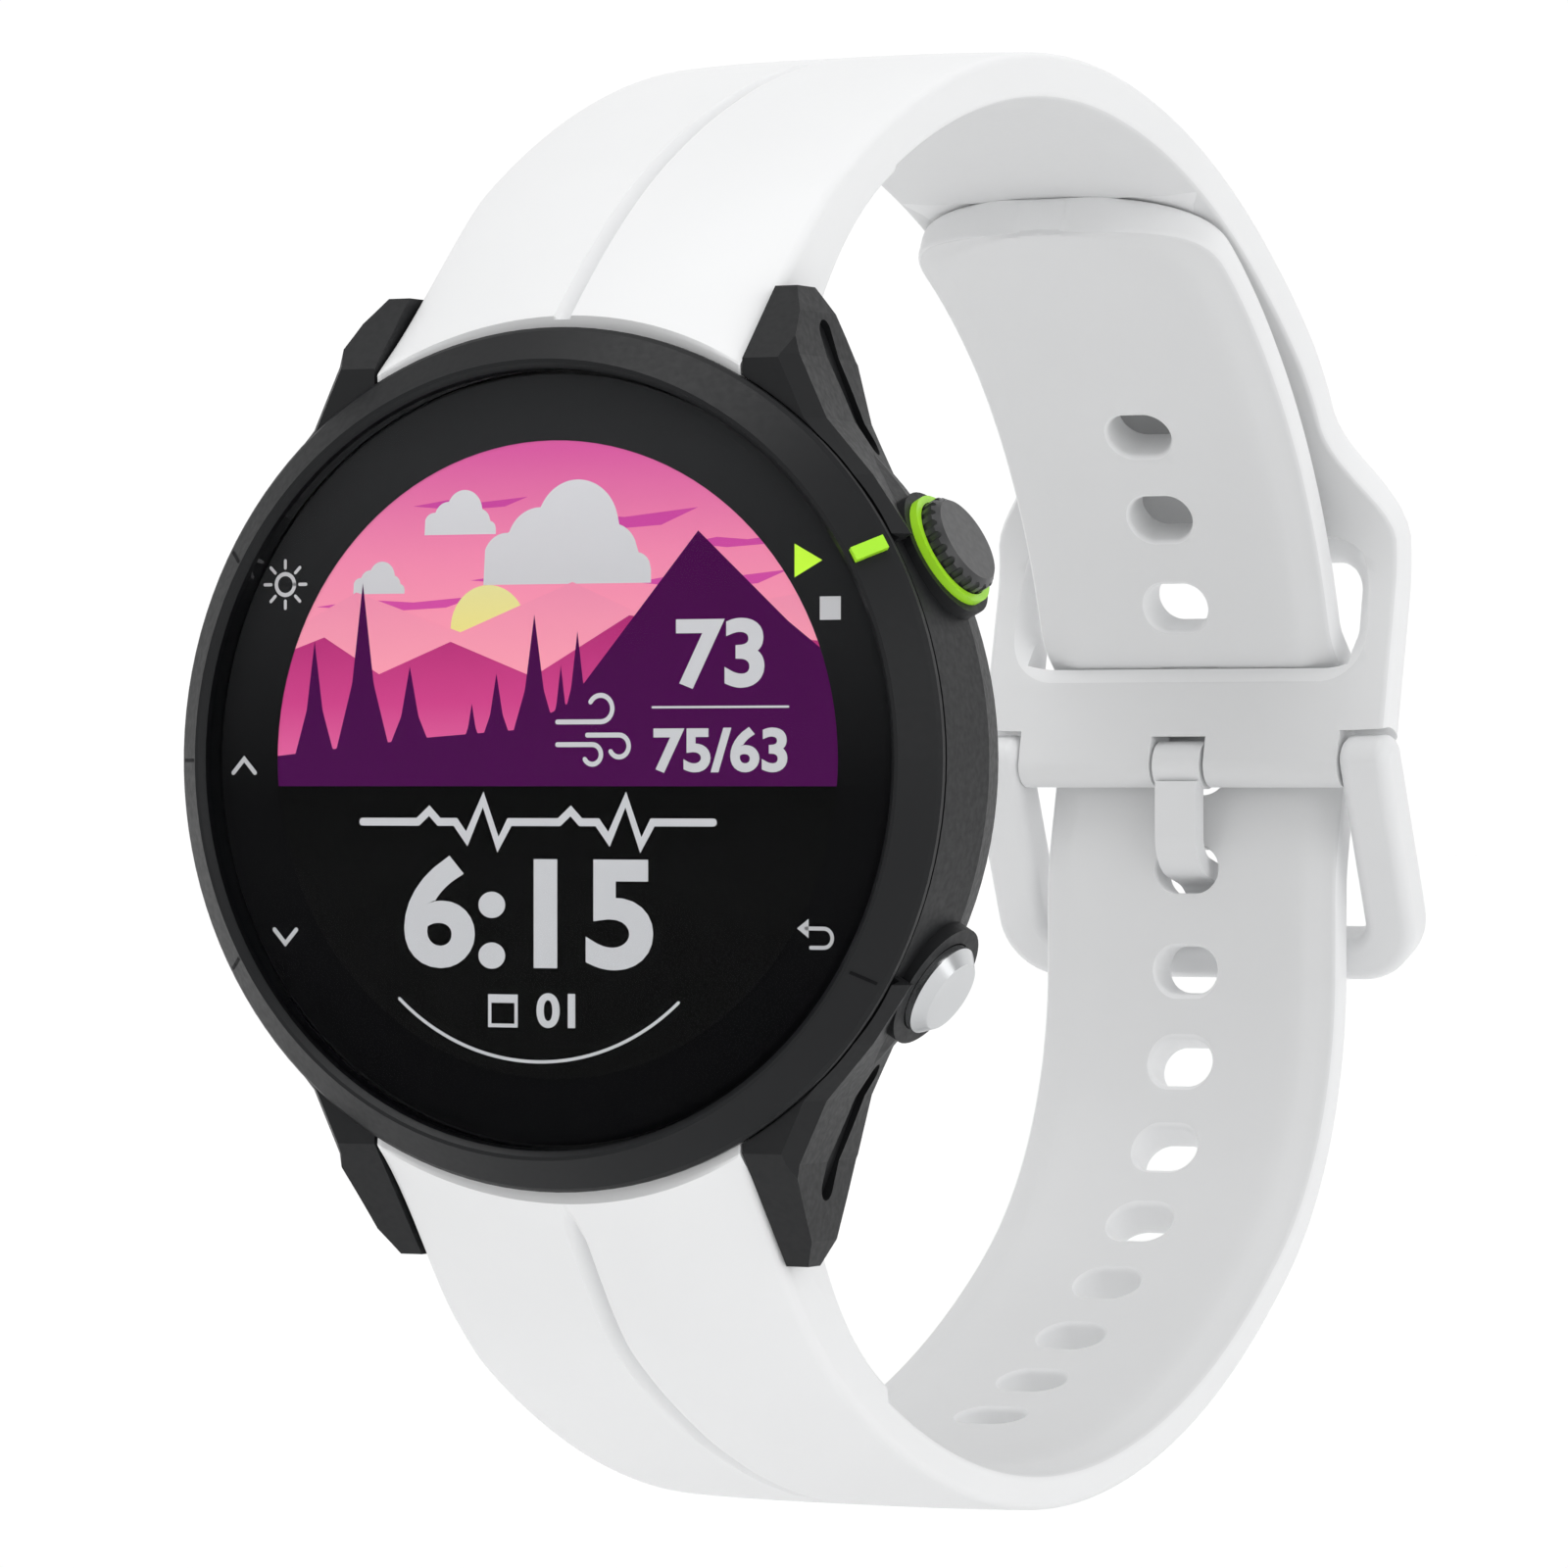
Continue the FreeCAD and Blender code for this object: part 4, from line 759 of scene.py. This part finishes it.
def flat_piece(name, shapes, layer, material, radius=SCREEN_RADIUS, lift=None):
    """Thin inlay on the screen from shapes drawn in X and Z."""
    depth = -(SCREEN_TOP + LAYER * layer) if lift is None else -lift
    points, faces = [], []
    for shape in shapes:
        kept = clip_to_circle(shape, radius)
        if len(kept) < 3:
            continue
        faces.append(tuple(range(len(points), len(points) + len(kept))))
        points += [(x, depth, z) for x, z in kept]
    piece = make_object(name, points, faces, material)
    work = bmesh.new()
    work.from_mesh(piece.data)
    bmesh.ops.triangulate(work, faces=work.faces)
    for face in work.faces:
        face.normal_update()
        if face.normal.y > 0:
            face.normal_flip()
    work.to_mesh(piece.data)
    work.free()
    place_piece(piece, "case", "display_black")
    return piece


def disc_shape(x, z, radius, sides=48, first=0.0, last=360.0):
    count = sides if last - first >= 360.0 else sides + 1
    return [(x + radius * math.cos(math.radians(first + (last - first) * step / sides)),
             z + radius * math.sin(math.radians(first + (last - first) * step / sides)))
            for step in range(count)]


def cloud_shape(x, z, width):
    """Flat-bottomed cloud: the upper edge of a row of puffs."""
    # place along the cloud, height of the middle and radius, as shares of the width
    puffs = [(-0.36, 0.13, 0.14), (-0.16, 0.20, 0.20), (0.06, 0.30, 0.24), (0.26, 0.16, 0.15),
             (0.40, 0.07, 0.09)]
    outline = []
    for step in range(97):
        across = -0.5 + step / 96 * 0.99
        tops = [up + math.sqrt(radius ** 2 - (across - middle) ** 2)
                for middle, up, radius in puffs if abs(across - middle) < radius]
        outline.append((x + across * width, z + max(tops + [0.0]) * width))
    return outline + [(outline[-1][0], z), (outline[0][0], z)]


def round_cap(centre, beyond, half):
    """Half circle round the end of a stroke, from its left side to its right side."""
    start = math.degrees(math.atan2(beyond[1] - centre[1], beyond[0] - centre[0]))
    return disc_shape(*centre, half, 8, start, start - 180.0)[1:-1]


def ribbon(line, width):
    """Stroke of one width along a line, with mitred corners and round ends."""
    half = width / 2
    left, right = [], []
    for index, (x, z) in enumerate(line):
        before = line[max(index - 1, 0)]
        after = line[min(index + 1, len(line) - 1)]
        into = Vector((x - before[0], z - before[1]))
        away = Vector((after[0] - x, after[1] - z))
        into = into.normalized() if into.length > 1e-9 else away.normalized()
        away = away.normalized() if away.length > 1e-9 else into
        normal = Vector((-into.y - away.y, into.x + away.x))
        normal.normalize()
        reach = half / max(normal.dot(Vector((-into.y, into.x))), 0.5)
        left.append((x + normal.x * reach, z + normal.y * reach))
        right.append((x - normal.x * reach, z - normal.y * reach))
    far_cap = round_cap(line[-1], left[-1], half)
    near_cap = round_cap(line[0], right[0], half)
    return [left + far_cap + right[::-1] + near_cap]


def bar_shape(left, right, low, high):
    return [(left, low), (right, low), (right, high), (left, high)]


def arc_line(x, z, radius, first, last, steps=16):
    return [(x + radius * math.cos(math.radians(first + (last - first) * step / steps)),
             z + radius * math.sin(math.radians(first + (last - first) * step / steps)))
            for step in range(steps + 1)]


def skyline(x, ridge, firs):
    """Height of the dark woods at a place: the ridge or the tallest spruce there."""
    height = 0.0
    for (x0, z0), (x1, z1) in zip(ridge, ridge[1:]):
        if x0 <= x <= x1:
            height = z0 + (z1 - z0) * (x - x0) / (x1 - x0)
    for middle, foot, tall, half in firs:
        away = abs(x - middle) / half
        if away < 1:
            # steep above the shoulder of the spruce, flatter below it
            rise = 1 - away / 0.38 * 0.58 if away < 0.38 else 0.42 * (1 - (away - 0.38) / 0.62)
            height = max(height, foot + tall * rise)
    return height


def landscape_inks():
    """Screen inks of the evening landscape."""
    return {
        "sky": screen_colour("screen_sky", [(0.0, (0.80, 0.30, 0.36)), (0.55, (0.70, 0.20, 0.33)),
                                            (1.0, (0.55, 0.09, 0.28))], 4, 16.5),
        "band": screen_colour("screen_band", [(0.0, (0.55, 0.07, 0.30)), (1.0, (0.45, 0.05, 0.26))], 4, 16),
        "cloud": screen_colour("screen_cloud", [(0.0, (0.52, 0.52, 0.53)), (1.0, (0.60, 0.60, 0.61))],
                               8, 15, 0.45),
        "sun": screen_colour("screen_sun", [(0.0, (0.80, 0.72, 0.25)), (1.0, (0.72, 0.70, 0.35))],
                             7, 11, 0.35),
        "far": screen_colour("screen_far_hills", [(0.0, (0.80, 0.30, 0.36)),
                                                  (1.0, (0.68, 0.22, 0.33))], 3, 9),
        "near": screen_colour("screen_near_hills", [(0.0, (0.66, 0.13, 0.30)), (0.45, (0.50, 0.05, 0.20)),
                                                    (1.0, (0.33, 0.02, 0.13))], -1, 8),
        "woods": screen_colour("screen_woods", [(0.0, (0.055, 0.0045, 0.058)),
                                                (1.0, (0.048, 0.0035, 0.050))], -2, 12),
        "black": screen_colour("screen_black", [(0.0, (0.004, 0.004, 0.004)),
                                                (1.0, (0.005, 0.005, 0.005))], -17, 0, 0.0),
    }


def streak_shape(x, z, length, height):
    """Thin wavy streak of cloud."""
    return [(x - length / 2, z - height * 0.1), (x - length * 0.2, z + height * 0.5),
            (x + length * 0.1, z + height * 0.2), (x + length / 2, z + height * 0.7),
            (x + length * 0.3, z - height * 0.3), (x - length * 0.1, z - height * 0.6)]


def woods_shape(horizon):
    """Dark woods: a low ridge with one peak and spruces in front of it."""
    ridge = [(-17.2, 0.2), (-11.5, 0.8), (-7.6, 1.2), (-2.0, 1.6), (1.0, 3.0), (8.7, 12.0), (14.0, 7.2),
             (17.2, 4.8)]
    # middle, foot, height and half width of each spruce
    firs = ((-14.6, 0.0, 6.4, 1.3), (-11.6, 0.2, 9.3, 1.75), (-8.7, 0.4, 4.6, 1.4), (-4.9, 0.8, 2.2, 0.6),
            (-3.4, 0.8, 3.8, 1.0), (-1.1, 0.8, 6.9, 1.5), (1.5, 1.6, 5.2, 1.0), (0.5, 1.4, 3.6, 0.7))
    edge = 17.2
    step = 0.05
    line = [(index * step, skyline(index * step, ridge, firs)) for index in range(-344, 345)]
    return line + [(edge, horizon), (-edge, horizon)]


def make_landscape():
    """Evening hills over the dark half of the screen."""
    inks = landscape_inks()
    horizon = -1.4
    edge = SCREEN_RADIUS
    flat_piece("screen_sky", [disc_shape(0, 0, SCREEN_RADIUS, 120)], 1, inks["sky"])
    streaks = [streak_shape(*place) for place in (
        (3.2, 12.6, 11.0, 0.9), (-5.0, 13.6, 7.0, 0.5), (9.5, 9.4, 9.0, 0.7),
        (-9.5, 8.3, 10.0, 0.6), (-1.0, 9.6, 8.0, 0.5), (11.0, 11.4, 6.0, 0.5))]
    flat_piece("screen_streaks", streaks, 2, inks["band"])
    flat_piece("screen_sun", [disc_shape(-3.9, 7.0, 2.3)], 3, inks["sun"])
    flat_piece("screen_clouds", [cloud_shape(-5.6, 12.0, 4.4), cloud_shape(0.9, 9.3, 10.2),
                                 cloud_shape(-10.6, 8.9, 3.2)], 4, inks["cloud"])
    flat_piece("screen_far_hills", [[(-edge, horizon), (-edge, 6.6), (-12.0, 9.0), (-5.6, 6.8), (1.2, 9.4),
                                     (6.0, 7.4), (edge, 9.0), (edge, horizon)]], 5, inks["far"])
    flat_piece("screen_near_hills", [[(-edge, horizon), (-edge, 5.6), (-14.0, 6.6), (-10.6, 4.6),
                                      (-6.2, 6.3), (-1.2, 4.4), (4.6, 7.6), (edge, 6.0),
                                      (edge, horizon)]], 6, inks["near"])
    flat_piece("screen_woods", [woods_shape(horizon)], 7, inks["woods"])
    flat_piece("screen_black", [[(-edge, horizon), (edge, horizon), (edge, -edge), (-edge, -edge)]], 8,
               inks["black"])


def digits(name, text, x, z, height, material):
    """Numerals in the built-in face, made heavier and wider."""
    curve = bpy.data.curves.new(name, "FONT")
    curve.body = text
    curve.size = 1.0
    curve.offset = 0.03
    curve.align_x = "CENTER"
    curve.resolution_u = 6
    holder = bpy.data.objects.new(name, curve)
    bpy.context.scene.collection.objects.link(holder)
    bpy.context.view_layer.update()
    mesh = bpy.data.meshes.new_from_object(holder)
    bpy.data.objects.remove(holder)
    low = min(v.co.y for v in mesh.vertices)
    high = max(v.co.y for v in mesh.vertices)
    middle = (min(v.co.x for v in mesh.vertices) + max(v.co.x for v in mesh.vertices)) / 2
    scale = height / (high - low)
    depth = -(SCREEN_TOP + LAYER * READING_LAYER)
    for vertex in mesh.vertices:
        across, up = vertex.co.x - middle, vertex.co.y - low
        vertex.co = Vector(((x + across * scale * NUMERAL_STRETCH) * MM, depth * MM, (z + up * scale) * MM))
    mesh.materials.clear()
    mesh.materials.append(material)
    piece = bpy.data.objects.new(name, mesh)
    bpy.context.scene.collection.objects.link(piece)
    place_piece(piece, "case", "display_black")


def make_readings():
    """Time, temperatures and plain symbols on the screen."""
    white = screen_colour("screen_white", [(0.0, (0.60, 0.60, 0.61)), (1.0, (0.66, 0.66, 0.67))],
                          -15, 8, 0.25)
    top = READING_LAYER
    digits("screen_time", "6:15", -1.5, -11.1, 6.0, white)
    digits("screen_temperature", "73", 10.0, 3.7, 3.7, white)
    digits("screen_low_high", "75/63", 10.0, -0.7, 2.4, white)
    digits("screen_day", "01", 0.2, -14.2, 1.85, white)
    flat_piece("screen_line", ribbon([(6.0, 2.75), (14.0, 2.75)], 0.12), top, white)
    wind = []
    wind += ribbon([(0.3, 2.0), (2.8, 2.0)] + arc_line(2.9, 2.7, 0.7, -90, 150), 0.26)
    wind += ribbon([(2.1, 1.3), (3.9, 1.3)] + arc_line(4.0, 0.72, 0.58, 90, -150), 0.26)
    wind += ribbon([(0.3, 0.8), (2.3, 0.8)] + arc_line(2.4, 0.28, 0.52, 90, -150), 0.26)
    flat_piece("screen_wind", wind, top, white)
    pulse = [(-11.6, -3.3), (-8.2, -3.3), (-7.5, -2.7), (-6.9, -3.3), (-5.9, -3.3), (-5.2, -4.2),
             (-4.2, -2.1), (-3.3, -4.5), (-2.6, -3.3), (0.4, -3.3), (1.1, -2.7), (1.7, -3.3),
             (2.7, -3.3), (3.4, -4.2), (4.4, -2.1), (5.3, -4.5), (6.0, -3.3), (9.6, -3.3)]
    flat_piece("screen_pulse", ribbon(pulse, 0.42), top, white)
    left, right, low, high = -3.9, -2.1, -14.2, -12.45
    head, line = 0.45, 0.2
    calendar = [bar_shape(left, right, high - head, high), bar_shape(left, right, low, low + line),
                bar_shape(left, left + line, low + line, high - head),
                bar_shape(right - line, right, low + line, high - head)]
    flat_piece("screen_calendar", calendar, top, white)
    flat_piece("screen_arc", ribbon(arc_line(-0.9, -3.4, 12.6, -132, -48, 40), 0.17), top, white)


def make_rim_print():
    """Black print under the edge of the glass and a small sign beside each button."""
    # the black rim print glows faintly and runs lighter towards the top: painted reflection of the studio in
    # the glass
    ink = screen_colour("rim_ink_painted_reflection", [(0.0, (0.0035, 0.0035, 0.004)), (0.4, (0.006, 0.006, 0.0065)),
                                    (1.0, (0.030, 0.031, 0.032))], -14, 16, 0.1)
    # the printed signs glow faintly and run slightly lighter towards the top: painted light
    grey = screen_colour("sign_grey_painted_glow", [(0.0, (0.58, 0.58, 0.59)), (1.0, (0.64, 0.64, 0.65))], -16, 16, 0.1)
    green = screen_colour("sign_green_painted_glow", [(0.0, (0.52, 0.92, 0.05)), (1.0, (0.60, 0.98, 0.07))], 6, 16, 0.3)
    sides = 120
    outer = disc_shape(0, 0, PRINT_REACH, sides)
    inner = disc_shape(0, 0, SCREEN_RADIUS - 0.1, sides)
    points = [(x, -PRINT_TOP, z) for x, z in outer + inner]
    faces = [(i, (i + 1) % sides, sides + (i + 1) % sides, sides + i) for i in range(sides)]
    rim = make_object("lens_border_print", points, faces, ink)
    place_piece(rim, "case", "display_black")
    signs = {"light": (150, grey, sign_lamp()), "up": (181, grey, sign_chevron(1)),
             "down": (210, grey, sign_chevron(-1)), "start": (34.5, green, sign_play()),
             "stop": (25.5, grey, sign_square()), "back": (-30, grey, sign_return())}
    for name, (angle, material, shapes) in signs.items():
        turn = math.radians(angle)
        reach = SIGN_REACH - 0.4 * math.cos(turn)
        centre = (reach * math.cos(turn), reach * math.sin(turn))
        moved = [[(x * SIGN_SCALE + centre[0], z * SIGN_SCALE + centre[1]) for x, z in shape]
                 for shape in shapes]
        flat_piece("sign_" + name, moved, 0, material, PRINT_REACH - 0.1, PRINT_TOP + 0.004)


def sign_lamp():
    """Lamp: a ring with short rays."""
    shapes = ribbon(arc_line(0, 0, 0.42, 0, 360, 24), 0.16)
    for step in range(8):
        turn = math.tau * step / 8
        ray = [(reach * math.cos(turn), reach * math.sin(turn)) for reach in (0.66, 0.95)]
        shapes += ribbon(ray, 0.13)
    return shapes


def sign_chevron(way):
    return ribbon([(-0.5, -0.25 * way), (0.0, 0.3 * way), (0.5, -0.25 * way)], 0.18)


def sign_play():
    return [[(-0.5, -0.65), (0.7, 0.0), (-0.5, 0.65)]]


def sign_square():
    return [[(-0.45, -0.45), (0.45, -0.45), (0.45, 0.45), (-0.45, 0.45)]]


def sign_return():
    """Arrow that turns back on itself."""
    bend = arc_line(0.2, -0.12, 0.37, 90, -90, 12)
    shapes = ribbon([(-0.55, 0.25), (0.2, 0.25)] + bend + [(-0.35, -0.49)], 0.15)
    return shapes + [[(-0.95, 0.25), (-0.45, 0.62), (-0.45, -0.12)]]


def make_bezel_ticks():
    """Thin dark strips down the bezel's cone beside four of the buttons: painted shade of engraved notches.
    """
    shade = moulded("tick_notch_painted_shade", (0.004, 0.004, 0.005), (0.003, 0.003, 0.004), 0.6, shine=0.1)
    # reach from the dial axis and depth in front of it
    top, foot = (21.35, 12.745), (22.55, 11.635)
    half_tick = 0.09
    for name, angle in (("back", -31), ("light", 150), ("up", 180), ("down", 210)):
        turn = math.radians(angle)
        along, across = (math.cos(turn), math.sin(turn)), (-math.sin(turn), math.cos(turn))
        points = []
        for (reach, height), side in ((top, -1), (top, 1), (foot, 1), (foot, -1)):
            half = side * half_tick
            points.append((reach * along[0] + half * across[0], -height,
                           reach * along[1] + half * across[1]))
        tick = make_object("bezel_tick_" + name, points, [(0, 1, 2, 3)], shade)
        place_piece(tick, "case", "bezel_polymer")


# ------------------------------------------------------------------ studio
STRAP_SWING_DROP = 24.0     # how far the opened lower half swings below the closed strap
CAMERA_TURN = 27.0
CAMERA_RIGHT = 7.13
CAMERA_BACK = 400.0
CAMERA_HEIGHT = -1.28
LENS = 169.2


def make_floor():
    """Plain pale floor, as low as the opened lower strap half reaches."""
    level = cad_box[0].z - STRAP_SWING_DROP * MM
    mesh = bpy.data.meshes.new("floor")
    reach = 6.0
    mesh.from_pydata([(-reach, -reach, level), (reach, -reach, level), (reach, reach, level),
                      (-reach, reach, level)], [], [(0, 1, 2, 3)])
    floor = bpy.data.objects.new("floor", mesh)
    bpy.context.scene.collection.objects.link(floor)
    mesh.materials.append(moulded("floor_paint", (0.96, 0.96, 0.96), (0.95, 0.95, 0.95), 0.9,
                                  depth=1e-7, cloud=2.0))


def sun_light(name, direction, power, spread):
    """Broad soft light from one side."""
    light = bpy.data.lights.new(name, "SUN")
    light.energy = power
    light.angle = math.radians(spread)
    lamp = bpy.data.objects.new(name, light)
    lamp.rotation_euler = Vector(direction).to_track_quat("-Z", "Y").to_euler()
    bpy.context.scene.collection.objects.link(lamp)


def make_world():
    """White studio, brighter behind the watch than in front of its glass."""
    world = bpy.data.worlds.new("studio")
    world.use_nodes = True
    tree = world.node_tree
    background = tree.nodes["Background"]
    split = tree.nodes.new("ShaderNodeSeparateXYZ")
    tree.links.new(tree.nodes.new("ShaderNodeTexCoord").outputs["Generated"], split.inputs[0])
    strength = add_range(tree, split.outputs["Y"], 0.62, 1.03, 0.45, 0.80)
    tree.links.new(strength, background.inputs["Strength"])
    background.inputs["Color"].default_value = (1, 1, 1, 1)
    bpy.context.scene.world = world


def make_camera():
    """Level long-lens view from 27 degrees to the right of the dial."""
    turn = math.radians(CAMERA_TURN)
    right = Vector((math.cos(turn), math.sin(turn), 0))
    forward = Vector((-math.sin(turn), math.cos(turn), 0))
    data = bpy.data.cameras.new("camera")
    data.sensor_width = 36.0
    data.lens = LENS
    data.clip_start = 0.01
    data.clip_end = 50.0
    camera = bpy.data.objects.new("camera", data)
    place = right * CAMERA_RIGHT - forward * CAMERA_BACK + Vector((0, 0, CAMERA_HEIGHT))
    camera.location = place * MM
    camera.rotation_euler = forward.to_track_quat("-Z", "Y").to_euler()
    bpy.context.scene.collection.objects.link(camera)
    bpy.context.scene.camera = camera


dress_cad_nodes()
make_hole_strap()
make_buckle_strap()
make_landscape()
make_readings()
make_rim_print()
make_bezel_ticks()
make_floor()
make_world()
make_camera()
sun_light("key", (0.1, 0.35, -1.0), 1.2, 45.0)
sun_light("side", (-1.0, 0.3, -0.1), 0.85, 60.0)
bpy.context.scene.view_settings.view_transform = "Standard"
